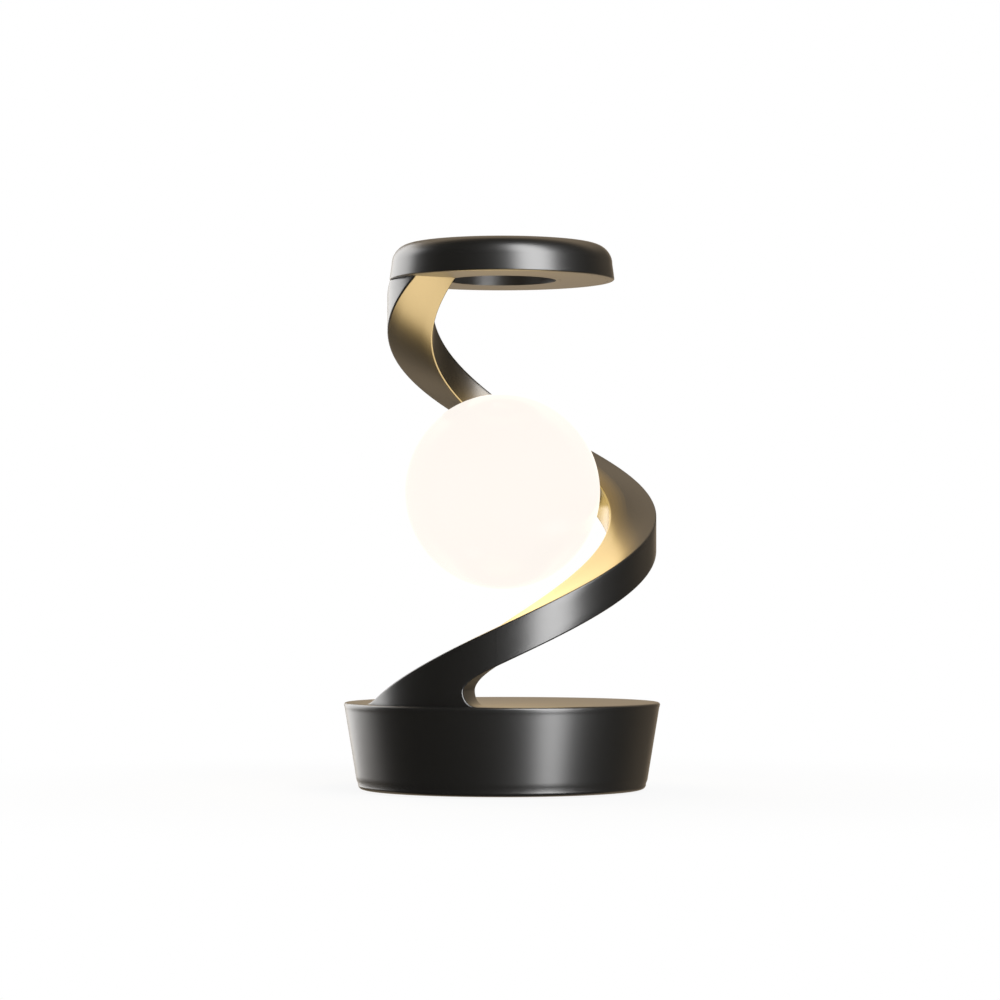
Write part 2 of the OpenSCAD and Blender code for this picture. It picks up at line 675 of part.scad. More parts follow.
// Places of the two screws between the ring's plate and the block in the arm
ring_in_r = ring_r - ring_lean - ring_wall;
ring_screw_a = arm_end_angle - ring_screw_back_angle;
ring_screw_low_r = arm_in_r(ring_screw_a);
ring_screw_high_r = min(ring_in_r, ring_screw_low_r + arm_w - arm_wall);
module ring_screw_places() for (s = [ring_screw_share, 1 - ring_screw_share])
    translate(polar(ring_screw_low_r + (ring_screw_high_r - ring_screw_low_r) * s, ring_screw_a,
                    ring_z + underplate_t)) children();

module ring_block() color("#6f7174") difference() {
    arm_sweep(core_section, arm_past_a - block_steps * arm_turn_a, arm_past_a, block_steps);
    above_ring();
    ring_screw_places() translate([0, 0, -ring_screw_l - over])
        cylinder(r = screw_hole_r, h = ring_screw_l + 2 * over);
}

module ring_screws() color("#9a9c9f") ring_screw_places()
    translate([0, 0, screw_head_t]) rotate([180, 0, 0]) pan_screw(ring_screw_l);

hook_r = ring_in_r - seam_gap - fit_gap;
underplate_top = ring_z + underplate_t;
hook_top = underplate_top + hook_h;

module ring_underplate() color("#1d1c1a") difference() {
    union() {
        rotate_extrude() translate([ring_hole_r + ring_wall + seam_gap, ring_z])
            square([ring_in_r - ring_hole_r - ring_wall - 2 * seam_gap, underplate_t]);
        for (i = [0:hooks - 1]) rotate([0, 0, hook_first_angle + 360 * i / hooks])
            rotate_extrude(angle = hook_angle)
                polygon([[hook_r - hook_t, ring_z + seam_gap], [hook_r, ring_z + seam_gap],
                         [hook_r, hook_top - hook_nose_h], [hook_r + hook_nose, hook_top - hook_nose_h],
                         [hook_r, hook_top], [hook_r - hook_t, hook_top]]);
    }
    ring_screw_places() translate([0, 0, -underplate_t - over])
        cylinder(r = screw_pass_r, h = underplate_t + 2 * over);
}

ring_round_x = ring_r - ring_lean - ring_round;
ring_profile = concat(
    [[ring_hole_r, ring_z], [ring_hole_r + ring_wall, ring_z],
     [ring_hole_r + ring_wall, lamp_h - ring_wall]],
    [for (t = [90:-15:0]) [ring_round_x + (ring_round - ring_wall) * cos(t),
                           lamp_h - ring_round + (ring_round - ring_wall) * sin(t)]],
    [[ring_in_r, hook_top + hook_gap], [ring_in_r + hook_nose + hook_gap, hook_top + hook_gap],
     [ring_in_r + hook_nose + hook_gap, hook_top - hook_nose_h - hook_gap],
     [ring_in_r, hook_top - hook_nose_h - hook_gap], [ring_in_r, ring_z]],
    quarter(ring_r - ring_edge, ring_z + ring_edge, ring_edge, -90, 3),
    quarter(ring_round_x, lamp_h - ring_round, ring_round, 0, 8),
    quarter(ring_hole_r + ring_edge, lamp_h - ring_edge, ring_edge, 90, 3));

module ring_housing() color("#1d1c1a") rotate_extrude() polygon(ring_profile);

module pivot_bush() color("#a98a4e") at_pivot() difference() {
    union() {
        translate([0, 0, seat_front]) cylinder(r = bush_r - fit_gap, h = bush_back - seat_front);
        translate([0, 0, seat_back]) cylinder(r = bush_flange_r, h = bush_flange_t);
        translate([0, peg_ring_r, seat_back]) cylinder(r = peg_r, h = bush_flange_t + run_gap + peg_h);
    }
    translate([0, 0, seat_front - over])
        cylinder(r = tube_r + fit_gap, h = bush_back - seat_front + 2 * over);
}

// Ring of the pivot's stack
module pivot_ring(z, r, h, hole = tube_r + fit_gap, sides = 96) at_pivot() difference() {
    translate([0, 0, z]) cylinder(r = r, h = h, $fn = sides);
    translate([0, 0, z - over]) cylinder(r = hole, h = h + 2 * over);
}

tube_low_z = cap_in_z - nut_t - fit_gap;
module pivot_tube() color("#a98a4e") pivot_ring(tube_low_z, tube_r, tube_top_z - tube_low_z, tube_bore_r);

module stop_washer() color("#9a9c9f") union() {
    pivot_ring(stop_z, stop_r, stop_t);
    at_pivot() translate([0, 0, stop_z]) rotate([0, 0, -90 - stop_half_angle])
        rotate_extrude(angle = 2 * stop_half_angle) translate([tube_r + loose_gap, 0])
            square([peg_ring_r + peg_r - tube_r - loose_gap, stop_t]);
}

module wave_washer() color("#b9bcc0") pivot_ring(wave_z, wave_r, wave_t);

module lock_nut() color("#9a9c9f") pivot_ring(lock_nut_z, lock_nut_r, lock_nut_t, sides = 6);

module friction_washer() color("#d9d4c8") pivot_ring(hub_z, friction_r, friction_t);

module tube_nut() color("#9a9c9f") pivot_ring(cap_in_z - nut_t, nut_r, nut_t, sides = 6);

// Places round the pivot's axis
module light_places(r, count, first = 0) at_pivot() for (i = [0:count - 1])
    rotate([0, 0, first + 360 * i / count]) translate([r, 0, 0]) children();

// Cap that closes the globe's neck, with three lugs behind the neck's inner land
module globe_cap() color("#1d1c1a") difference() {
    at_pivot() union() {
        rotate_extrude() polygon(concat(
            [[tube_r + fit_gap, cap_in_z], [spigot_r, cap_in_z], [spigot_r, neck_z], [neck_rim_r, neck_z]],
            [for (i = [1:6]) let (r = neck_rim_r + (hub_r - neck_rim_r) * i / 6)
                [r, sqrt(pow(globe_r, 2) - pow(r, 2))]],
            [[hub_r, hub_z - hub_edge], [hub_r - hub_edge, hub_z], [tube_r + fit_gap, hub_z]]));
        for (i = [0:lugs - 1]) rotate([0, 0, lug_first_angle + 360 * i / lugs - lug_angle / 2])
            rotate_extrude(angle = lug_angle) translate([spigot_r - over, cap_in_z])
                square([lug_w + over, lug_t]);
    }
    light_places(sink_r * led_screw_share, 2) translate([0, 0, cap_in_z - over])
        cylinder(r = screw_hole_r, h = led_screw_l);
}

module heat_sink() color("#c4c7ca") difference() {
    pivot_ring(sink_z, sink_r, sink_t, sink_hole_r);
    light_places(sink_r * led_screw_share, 2) translate([0, 0, sink_z - over])
        cylinder(r = screw_pass_r, h = sink_t + 2 * over);
}

module led_board() color("#efece4") difference() {
    at_pivot() translate([0, 0, led_z]) cylinder(r = sink_r, h = board_t);
    light_places(sink_r * led_screw_share, 2) translate([0, 0, led_z - over])
        cylinder(r = screw_pass_r, h = board_t + 2 * over);
}

module led_chips() color("#f3d774") union() {
    light_places(sink_r * chip_share, chips, 180 / chips)
        translate([-chip_w / 2, -chip_w / 2, led_z - chip_t]) cube([chip_w, chip_w, chip_t]);
    at_pivot() translate([-chip_w / 2, -chip_w / 2, led_z - chip_t]) cube([chip_w, chip_w, chip_t]);
}

module led_screws() color("#9a9c9f") light_places(sink_r * led_screw_share, 2)
    translate([0, 0, led_z - screw_head_t]) pan_screw(led_screw_l);

module globe_lead() color("#e6e2da") at_pivot() translate([0, 0, sink_z])
    cylinder(r = lead_r, h = tube_top_z - sink_z);

// The globe: one blown shell with a flat rim and an inner land at the neck, notched for the cap's lugs
globe_steps = 30;
neck_angle = atan2(neck_z, neck_rim_r);
land_angle = atan2(land_z, land_r);
globe_profile = concat(
    [[neck_r, land_z], [neck_r, neck_z], [neck_rim_r, neck_z]],
    [for (i = [1:globe_steps]) let (t = neck_angle - (neck_angle + 90) * i / globe_steps)
        [globe_r * cos(t), globe_r * sin(t)]],
    [for (i = [globe_steps:-1:0]) let (t = land_angle - (land_angle + 90) * i / globe_steps)
        [globe_in_r * cos(t), globe_in_r * sin(t)]]);

module globe() color("#fff6e6") at_pivot() difference() {
    rotate_extrude() polygon(globe_profile);
    for (i = [0:lugs - 1]) rotate([0, 0, lug_first_angle + (360 * i + 180) / lugs - lug_notch_angle / 2])
        rotate_extrude(angle = lug_notch_angle) translate([neck_r - over, land_z - over])
            square([lug_w + over, neck_t + 2 * over]);
}

base_housing();
base_plate();
counterweight();
weight_screws();
plate_screws();
rubber_pads();
driver_board();
board_screws();
power_inlet();
tact_switch();
switch_plunger();
power_button();
arm_shell();
arm_cover();
arm_wire();
ring_block();
ring_screws();
ring_underplate();
ring_housing();
pivot_bush();
pivot_tube();
stop_washer();
wave_washer();
lock_nut();
friction_washer();
globe_cap();
tube_nut();
heat_sink();
led_board();
led_chips();
led_screws();
globe_lead();
globe();
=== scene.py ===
"""Bedside lamp: a drum base, a band that winds up from it, a flat ring, and a lit globe on a hidden pivot.

The solid part is loaded as a fixed frame. The smooth pieces made here stand for its housings, and every
other part keeps its own shape and gets its finish. Sizes are in metres and angles in radians.
Angles round the lamp start at the front, where y is lowest, and grow anticlockwise seen from above.
"""

from types import SimpleNamespace

import bmesh
import bpy
import numpy as np
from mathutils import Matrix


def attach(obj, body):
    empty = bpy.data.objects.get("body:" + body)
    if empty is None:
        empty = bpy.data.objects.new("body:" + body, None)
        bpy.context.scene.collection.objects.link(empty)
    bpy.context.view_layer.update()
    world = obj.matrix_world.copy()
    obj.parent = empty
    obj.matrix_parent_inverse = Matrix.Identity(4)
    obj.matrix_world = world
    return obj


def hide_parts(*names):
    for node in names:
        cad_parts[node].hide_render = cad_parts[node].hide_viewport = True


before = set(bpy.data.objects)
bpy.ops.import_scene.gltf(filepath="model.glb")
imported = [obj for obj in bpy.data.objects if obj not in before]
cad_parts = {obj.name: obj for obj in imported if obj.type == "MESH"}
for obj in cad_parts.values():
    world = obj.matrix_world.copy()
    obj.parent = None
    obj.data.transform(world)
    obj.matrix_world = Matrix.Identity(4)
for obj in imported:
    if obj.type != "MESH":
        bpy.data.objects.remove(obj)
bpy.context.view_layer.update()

bl_info = {
    "name": "Rotating Bedside Lamp",
    "version": (1, 0, 0),
    "blender": (4, 5, 0),
    "location": "View3D > Sidebar > Bedside Lamp",
    "description": "Builds the smooth shells, finishes and studio of a bedside lamp",
    "category": "Object",
}

MM = 0.001
# Points no further apart than this are one.
WELD = 0.001 * MM
# Angle between the two columns at the upright side of a lug or notch.
HAIR = 1e-5
THIRDS = np.radians([0, 120, 240])
# Columns of faces round each turned piece.
SMALL_COLUMNS = 96
CAP_COLUMNS = 144
GLOBE_COLUMNS = 192
RING_COLUMNS = 288
# Sections along the band.
BAND_SECTIONS = 341

# The four named radii of the band stand at even steps of its sweep, the first a little before the front.
BAND_START = -0.2
BAND_STEPS = 3
# Stretches over which the mirrored room changes, of a direction's part to the rear or upright, up to 1.
BESIDE = (0.1, 0.8)
REAR = (0.38, 0.54)
BACKDROP = (0.88, 0.98)
STEEP = (0.3, 0.75)
# Distances from the lamp's axis, in metres, over which the floor fades to plain white.
WHITENING = (0.1, 0.4)


def length(name, description, default):
    """A size in metres, given in millimetres."""
    return bpy.props.FloatProperty(
        name=name, description=description, default=default * MM, min=0, precision=5, unit="LENGTH")


def angle(name, description, default):
    """An angle in radians, given in degrees."""
    return bpy.props.FloatProperty(
        name=name, description=description, default=np.radians(default), subtype="ANGLE")


def share(name, description, default, low=0):
    """A plain number, not under a lowest one."""
    return bpy.props.FloatProperty(name=name, description=description, default=default, min=low)


def colour(name, description, red, green, blue):
    """A colour, given as it looks on a screen from 0 to 255."""
    shown = np.array([red, green, blue]) / 255
    linear = np.where(shown > 0.04045, ((shown + 0.055) / 1.055) ** 2.4, shown / 12.92)
    return bpy.props.FloatVectorProperty(
        name=name, description=description, default=tuple(linear.tolist()), size=3, min=0, max=1,
        subtype="COLOR")


class LampSizes(bpy.types.PropertyGroup):
    """Sizes of the lamp, the same as in the solid part."""

    lamp_h: length("Lamp height", "From the table to the ring's flat top", 278)
    drum_foot_r: length("Drum foot radius", "Where the tapered wall meets the skirt", 73.4)
    drum_top_r: length("Drum top radius", "Where the tapered wall meets the rim", 80.6)
    drum_low: length("Drum clearance", "Height of the housing's lowest edge", 0.8)
    deck_z: length("Deck height", "Height of the drum's flat top", 44.9)
    drum_wall: length("Drum wall", "Thickness of the drum's side", 2.6)
    deck_t: length("Deck thickness", "Thickness of the drum's top", 3)
    rim_round: length("Rim rounding", "Radius between wall and deck", 1.2)
    skirt_round: length("Skirt rounding", "Radius at the drum's lower edge", 2.6)
    plate_r: length("Base plate radius", "Plate that closes the drum from below", 70.7)
    plate_t: length("Base plate thickness", "Depth of the step that takes the plate", 2.4)
    ledge_w: length("Ledge width", "Ledge that the base plate rests against", 3.4)
    ledge_t: length("Ledge thickness", "Height of that ledge", 2)
    hairline: length("Hairline", "Gap between closely fitted parts", 0.1)
    panel_w: length("Recess width", "Width of the recess at the back", 44)
    panel_h: length("Recess height", "Height of the recess at the back", 17)
    panel_z: length("Recess bottom", "Height of the recess's lower edge", 19)
    panel_depth: length("Recess depth", "From the wall's chord to the recess's floor", 1)
    panel_t: length("Recess floor", "Thickness of the recess's floor", 2.4)
    panel_side: length("Recess wall", "Thickness round the recess", 3)
    button_x: length("Button offset", "From the lamp's middle plane to the button", 11)
    button_z: length("Button height", "Height of the button's axis", 28.6)
    button_r: length("Button radius", "Radius of the button's face", 4)
    button_hole_r: length("Button hole radius", "Radius of its hole in the recess", 4.1)
    button_proud: length("Button reach", "How far the button stands out of the recess's floor", 1.6)
    button_flange_w: length("Button flange width", "Flange that keeps the button in", 1.4)
    button_flange_t: length("Button flange thickness", "Thickness of that flange", 1)
    button_gap: length("Button play", "Gap behind the recess's floor", 0.1)
    button_stem_r: length("Button stem radius", "Stem that reaches the switch", 1.7)
    button_stem: length("Button stem length", "Length of that stem", 2)
    button_edge: length("Button edge", "Rounding of the button's face", 0.6)
    button_dish: length("Button dish", "How far the button's face is hollowed", 0.35)
    inlet_x: length("Inlet offset", "From the lamp's middle plane to the power inlet", 9)
    inlet_z: length("Inlet height", "Height of the inlet's lower edge", 25.6)
    inlet_w: length("Inlet width", "Width of the inlet's shell", 8.9)
    inlet_h: length("Inlet height across", "Height of the inlet's shell", 3.3)
    inlet_gap: length("Inlet gap", "Gap round the inlet's shell", 0.2)
    band_w: length("Band width", "From the band's inner wall to its outer wall", 23.8)
    band_h: length("Band height", "From the band's underside to its top", 19)
    band_edge: length("Band edge", "Rounding of the band's long edges", 1)
    band_wall: length("Band wall", "Thickness of the band's shell", 2.4)
    band_front_z: length("Band top at the front", "Height of the band's top edge at the front", 85.2)
    band_end: angle("Band end", "Where the band's underside reaches the ring", 302.3)
    foot_inset: length("Foot inset", "From the drum's rim to the foot's outer wall", 6)
    band_room: length("Room round the globe", "Gap between globe and band at the front", 5.5)
    band_draw_in: length("Band draw-in", "How far the band's back is nearer than its front", 7.8)
    notch_r: length("Notch radius", "Concave corner where the foot meets the deck", 7.6)
    notch_back: length("Notch setback", "From the band's lower corner to the notch", 26.4)
    notch_run: length("Notch run-out", "From the notch's back to the band's underside", 14.7)
    cover_t: length("Cover thickness", "Strip that closes the band towards the globe", 2.2)
    lip_t: length("Lip thickness", "Band's lips that the strip sits between", 1.4)
    foot_sink: length("Foot root", "How deep the foot runs into the deck", 2.6)
    foot_ease: share("Foot ease", "Share of the way from tip to front in which the foot leaves the deck", 0.1)
    seat_proud: length("Pivot seat reach", "How far the pivot's seat stands off the strip", 0.5)
    seat_r: length("Pivot seat radius", "Radius of that seat", 6.6)
    bush_r: length("Bush hole radius", "Hole in the strip for the pivot's bush", 4.4)
    ring_d: length("Ring diameter", "Across the ring outside", 114.6)
    ring_h: length("Ring height", "From the ring's underside to its top", 18.1)
    ring_hole_d: length("Ring hole", "Across the ring's round hole", 55)
    ring_round: length("Ring rounding", "Radius of the ring's upper outer edge", 10)
    ring_lean: length("Ring lean", "How far the ring's wall leans in", 1)
    ring_wall: length("Ring wall", "Thickness of the ring's shell", 2.4)
    ring_rim: length("Ring rim", "Wall round the plate under the ring", 3.4)
    ring_edge: length("Ring edge", "Rounding of the ring's other edges", 0.8)
    globe_d: length("Globe diameter", "Across the opal globe", 100)
    globe_wall: length("Globe wall", "Thickness of the opal shell", 2.4)
    globe_drop: length("Globe drop", "From midway between deck and ring to the globe's centre", 0.4)
    neck_d: length("Neck hole", "Across the globe's neck", 34)
    neck_rim: length("Neck rim", "Width of the neck's flat rim", 1.4)
    neck_t: length("Neck depth", "Depth of the neck's land", 3)
    lug_w: length("Lug width", "How far the cap's lugs reach", 1)
    hub_r: length("Hub radius", "Flat middle of the globe's cap", 7)
    hub_z: length("Hub reach", "From the globe's centre to the cap's flat middle", 51.9)
    hub_edge: length("Hub edge", "Bevel round the cap's flat middle", 0.5)
    lug_t: length("Lug thickness", "Thickness of the cap's lugs", 1.4)
    cap_gap: length("Cap gap", "Gap between the cap's spigot and the neck", 0.2)
    tube_hole_r: length("Tube hole radius", "Hole for the pivot's tube", 3.05)
    lug_wide: angle("Lug span", "Width of each lug of the cap", 30)
    lug_notch: angle("Lug notch", "Width of each notch in the neck's land", 36)
    lug_first: angle("First lug", "Where the first lug of the cap stands", 30)


class LampFinishes(bpy.types.PropertyGroup):
    """Colours and surface values of the lamp."""

    black: colour("Satin black", "Fine matt paint on drum, band, ring and cap", 16, 15, 13)
    paint_rough: share("Paint roughness", "Spread of the paint's reflections", 0.33)
    paint_ior: share("Paint index", "Refractive index of the paint, which its metal flakes raise", 2.4)
    opal: colour("Opal glass", "The globe under its own light", 84, 81, 76)
    glow: colour("Glow", "The globe's own light", 250, 244, 238)
    glow_level: share("Glow level", "Strength of the globe's own light, where 1 is white", 1.0)
    black_plastic: colour("Black plastic", "Plate under the base, and switch", 30, 30, 31)
    button_plastic: colour("Button plastic", "Push button", 30, 30, 31)
    plain_steel: colour("Plain steel", "Screws, nuts and washers", 176, 178, 181)
    zinc: colour("Zinc", "Weight and fixing block", 134, 138, 142)
    aluminium: colour("Aluminium", "Heat sink", 196, 199, 202)
    rubber: colour("Rubber", "Feet", 24, 24, 25)
    board: colour("Circuit board", "Green lacquer", 26, 92, 58)
    white_board: colour("White board", "Lacquer of the light's board", 240, 238, 230)
    phosphor: colour("Phosphor", "Light chips", 243, 208, 96)
    nickel: colour("Nickel", "Shell of the power inlet", 190, 190, 188)
    ivory: colour("Ivory plastic", "Friction washer and switch stem", 226, 220, 204)
    white_lead: colour("White lead", "Leads inside the band", 232, 230, 222)
    brass: colour("Brass", "Pivot tube and bush", 184, 148, 82)


class StudioLight(bpy.types.PropertyGroup):
    """Floor, camera and lights."""

    floor: colour("Floor", "Plain pale floor", 226, 226, 226)
    floor_size: share("Floor size", "Half the floor's width in metres", 6)
    white_share: share("White share", "How much plain white the camera sees in the floor by the lamp", 0.9)
    room_level: share("Room level", "Even light that the room gives", 0.5)
    front_level: share("Front level", "How bright the room in front of the lamp is mirrored", 0.01)
    side_level: share("Side level", "How bright the room beside and behind the lamp is mirrored", 0.17)
    high_level: share("High level", "How much brighter that is high and low behind the lamp", 0.58)
    backdrop_level: share("Backdrop level", "How bright the backdrop is mirrored", 0.78)
    warm_room: colour("Warm room", "Tone of the room that the globe lights", 255, 229, 194)
    lens: share("Lens", "Focal length in millimetres", 120.28)
    camera_y: share("Camera distance", "From the lamp's axis to the camera in metres", 1.7046)
    camera_z: share("Camera height", "Height of the camera in metres", 0.1041)
    shift_x: share("Shift x", "Camera shift sideways", -0.002, -1)
    shift_y: share("Shift y", "Camera shift upwards", 0.086, -1)
    panel_distance: share("Panel distance", "From the lamp's axis to the soft lights in metres", 1.6)
    strip_turn: angle("Strip turn", "Place of the tall soft light, to the right of the camera", 31.5)
    strip_level: share("Strip level", "Brightness of the tall soft light, where 1 is white", 4.15)
    strip_lean: angle("Strip lean", "How far the top of the tall soft light leans to the left", 5)
    strip_width: share("Strip width", "Width of the tall soft light in metres", 1.16)
    strip_low: share("Strip bottom", "Height of its lower end in metres", -0.72, -10)
    strip_high: share("Strip top", "Height of its upper end in metres", 3.5)
    rim_turn: angle("Rim turn", "Place of the soft light behind, to the left of the camera", 133)
    rim_level: share("Rim level", "Brightness of the soft light behind, where 1 is white", 2.5)
    rim_width: share("Rim width", "Width of the soft light behind in metres", 1.6)
    rim_low: share("Rim bottom", "Height of its lower edge in metres", -0.22, -10)
    rim_high: share("Rim top", "Height of its upper edge in metres", 1.4)
    globe_level: share("Globe level", "Brightness of the light that the globe gives", 2.6)
    glow_depth: length("Glow depth", "How far the glow reaches past the glass of the globe", 2.0)
    globe_light: colour("Globe light", "Colour of the light that the globe gives", 255, 218, 132)
    halo_steps: bpy.props.IntProperty(
        name="Halo steps", description="Number of spheres that the outer glow fades in", default=6)
    halo_depth: length("Halo depth", "How far each sphere of the outer glow reaches past the last", 2.0)
    halo_level: share("Halo level", "Brightness of each sphere of the outer glow", 0.18)
    halo_light: colour("Halo light", "Colour of the faint outer glow", 255, 205, 110)


def measures():
    """Sizes of the lamp with what follows from them, worked out as in the solid part."""
    sizes = bpy.context.scene.lamp_sizes
    names = [key for key in sizes.bl_rna.properties.keys() if key not in ("rna_type", "name")]
    m = SimpleNamespace(**{name: getattr(sizes, name) for name in names})
    m.ring_z = m.lamp_h - m.ring_h
    m.globe_z = (m.deck_z + m.ring_z) / 2 - m.globe_drop
    m.globe_r = m.globe_d / 2
    m.ring_r = m.ring_d / 2
    m.ring_hole_r = m.ring_hole_d / 2
    m.slope = (m.ring_z - m.band_front_z + m.band_h) / m.band_end
    m.first_a = BAND_START * m.band_end
    m.step_a = (m.band_end - m.first_a) / BAND_STEPS
    m.foot_r = m.drum_top_r - m.foot_inset
    m.front_r = m.globe_r + m.band_room + m.band_w
    m.back_r = m.front_r - m.band_draw_in
    m.top_r = m.ring_hole_r + m.band_w
    m.tip_a = (m.deck_z - m.band_front_z) / m.slope
    m.corner_a = m.tip_a + m.band_h / m.slope
    m.blend_a = -m.foot_ease * m.tip_a
    m.foot_first_a = m.tip_a - m.blend_a
    m.notch_back_a = m.corner_a + m.notch_back / m.front_r
    m.notch_toe_a = m.notch_back_a + m.notch_r / m.front_r
    m.notch_run_a = m.notch_back_a + m.notch_run / m.front_r
    m.seam_a = m.notch_run_a + m.band_wall / m.front_r
    m.pivot_a = (m.globe_z - m.band_front_z + m.band_h / 2) / m.slope
    m.pivot_in_r = band_radius(m, m.pivot_a) - m.band_w
    m.neck_r = m.neck_d / 2
    m.neck_rim_r = m.neck_r + m.neck_rim
    m.neck_z = np.sqrt(m.globe_r ** 2 - m.neck_rim_r ** 2)
    m.drum_slope = (m.drum_top_r - m.drum_foot_r) / (m.deck_z - m.drum_low)
    m.roof_z = m.deck_z - m.deck_t
    m.plate_top = m.drum_low + m.plate_t
    wall_r = drum_radius(m, m.panel_z)
    m.panel_y = np.sqrt(wall_r ** 2 - (m.panel_w / 2) ** 2) - m.panel_depth
    return m


def joined(*coordinates):
    """Points from their coordinates, each an array or one number for all."""
    return np.stack(np.broadcast_arrays(*coordinates), axis=-1)


def band_radius(m, a):
    """Outer radius of the band at an angle: the cubic through its four radii, one step apart."""
    t = (a - m.first_a) / m.step_a
    first = -m.foot_r * (t - 1) * (t - 2) * (t - 3)
    second = 3 * m.front_r * t * (t - 2) * (t - 3)
    third = -3 * m.back_r * t * (t - 1) * (t - 3)
    fourth = m.top_r * t * (t - 1) * (t - 2)
    return (first + second + third + fourth) / 6


def band_top(m, a):
    """Height of the band's top edge: a straight line over the angle."""
    return m.band_front_z + m.slope * a


def band_point(m, x, a, z):
    """Point at x outward from the band's inner wall, at an angle and a height."""
    r = band_radius(m, a) - m.band_w + x
    return joined(r * np.sin(a), -r * np.cos(a), z)


def drum_radius(m, z):
    """Radius of the drum's tapered wall: a straight line over the height."""
    return m.drum_foot_r + m.drum_slope * (z - m.drum_low)


def arc(x, y, r, start, end, steps):
    """Points of a circle's arc: centre plus radius times cosine and sine, from start to end in degrees."""
    t = np.radians(np.linspace(start, end, steps + 1))
    return joined(x + r * np.cos(t), y + r * np.sin(t))


def path(*parts):
    """Outline from single points and rows of points."""
    return np.concatenate([np.atleast_2d(np.asarray(part, float)) for part in parts])


def spaced(outline, step):
    """The outline with points added, so that no straight stretch is much longer than the step."""
    way = np.roll(outline, -1, axis=0) - outline
    count = np.maximum(1, np.linalg.norm(way, axis=1) // step).astype(int)
    start = np.repeat(np.arange(len(outline)), count)
    number = np.arange(len(start)) - np.repeat(np.cumsum(count) - count, count)
    return outline[start] + way[start] * (number / count[start])[:, None]


class Skin:
    """Grids and faces gathered into one closed mesh."""

    def __init__(self):
        self.points = []
        self.faces = []
        self.count = 0

    def add(self, points):
        """Takes an array of points and returns the number of the first."""
        flat = np.asarray(points, float).reshape(-1, 3)
        self.points.append(flat)
        self.count += len(flat)
        return self.count - len(flat)

    def grid(self, points, close_rows=False, close_columns=False, keep=None):
        """Four-sided faces between neighbours of a grid, which may close on itself either way."""
        rows, columns = points.shape[:2]
        number = np.arange(rows * columns).reshape(rows, columns) + self.add(points)
        if close_rows:
            number = np.vstack([number, number[:1]])
        if close_columns:
            number = np.hstack([number, number[:, :1]])
        quads = np.stack([number[:-1, :-1], number[:-1, 1:], number[1:, 1:], number[1:, :-1]], axis=-1)
        if keep is not None:
            quads = quads[keep]
        self.faces.extend(quads.reshape(-1, 4).tolist())
        return number

    def face(self, points):
        """One flat face."""
        first = self.add(points)
        self.faces.append(list(range(first, first + len(points))))

    def close(self, numbers):
        """One flat face over points that are there already."""
        self.faces.append(list(dict.fromkeys(numbers.tolist())))

    def build(self, name, weld=True, sharp=30):
        """Mesh object with doubles merged, normals outward and edges sharper than an angle kept crisp."""
        mesh = bpy.data.meshes.new(name)
        mesh.from_pydata(np.concatenate(self.points).tolist(), [], self.faces)
        shape = bmesh.new()
        shape.from_mesh(mesh)
        if weld:
            bmesh.ops.remove_doubles(shape, verts=shape.verts, dist=WELD)
        bmesh.ops.recalc_face_normals(shape, faces=shape.faces)
        shape.to_mesh(mesh)
        shape.free()
        mesh.polygons.foreach_set("use_smooth", np.ones(len(mesh.polygons), bool))
        mesh.set_sharp_from_angle(angle=np.radians(sharp))
        made = bpy.data.objects.new(name, mesh)
        bpy.context.scene.collection.objects.link(made)
        return made


def settle(made, body, slot, material, *nodes):
    """Gives a piece its body and material, and lets it stand for its solid parts; the slot is not used."""
    made.data.materials.append(material)
    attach(made, body)
    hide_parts(*nodes)
    return made


def turned(r, h, turn, centre=(0, 0, 0), axis=(0, 0, 1), side=(1, 0, 0)):
    """Rows of radius r and height h, turned round an axis through a centre, with a column at each angle.

    A point is the centre, plus r times the cosine along side and the sine square to side and axis, plus h
    along the axis."""
    axis = np.asarray(axis, float)
    side = np.asarray(side, float)
    way = np.cos(turn)[:, None] * side + np.sin(turn)[:, None] * np.cross(axis, side)
    return np.asarray(centre) + r[..., None] * way + h[:, None, None] * axis


def revolved(outline, columns, *place):
    """Turns an outline of radius and height once round, in even columns."""
    return turned(outline[:, :1], outline[:, 1], np.linspace(0, 2 * np.pi, columns, endpoint=False), *place)


def shell(name, points, close_rows=True):
    """Mesh object of one grid that closes on itself."""
    skin = Skin()
    skin.grid(points, close_rows=close_rows, close_columns=True)
    return skin.build(name)


def pivot_axes(m):
    """Centre of the globe, direction of the pivot outward from it, and a level direction across it."""
    out = np.array([np.sin(m.pivot_a), -np.cos(m.pivot_a), 0])
    across = np.array([np.cos(m.pivot_a), np.sin(m.pivot_a), 0])
    return np.array([0, 0, m.globe_z]), out, across


def loop_of(patch):
    """Points round the edge of a grid, starting at its first corner."""
    return np.concatenate([patch[0, :-1], patch[:-1, -1], patch[-1, :0:-1], patch[:0:-1, 0]])


def travelled(line):
    """Way gone along a line up to each of its points."""
    return np.concatenate([[0], np.cumsum(np.linalg.norm(np.diff(line, axis=0), axis=1))])


def slot_loop(x, z, half, r, edge):
    """Rounded slot with as many points as the edge round it, spaced as the edge's points are.

    It is the outline at a radius round a short level line, begun towards the edge's first corner."""
    first = np.arctan2(edge[0, 2] - z, edge[0, 0] - x)
    middle = edge.mean(axis=0)
    turn = np.cross(edge[0, [0, 2]] - middle[[0, 2]], edge[1, [0, 2]] - middle[[0, 2]])
    t = first + np.sign(turn) * np.linspace(0, 2 * np.pi, 721)
    line = joined(x + half * np.sign(np.cos(t)) + r * np.cos(t), z + r * np.sin(t))
    gone = travelled(line)
    round_edge = travelled(np.concatenate([edge, edge[:1]]))
    at = round_edge[:-1] / round_edge[-1] * gone[-1]
    return joined(np.interp(at, gone, line[:, 0]), np.interp(at, gone, line[:, 1]))


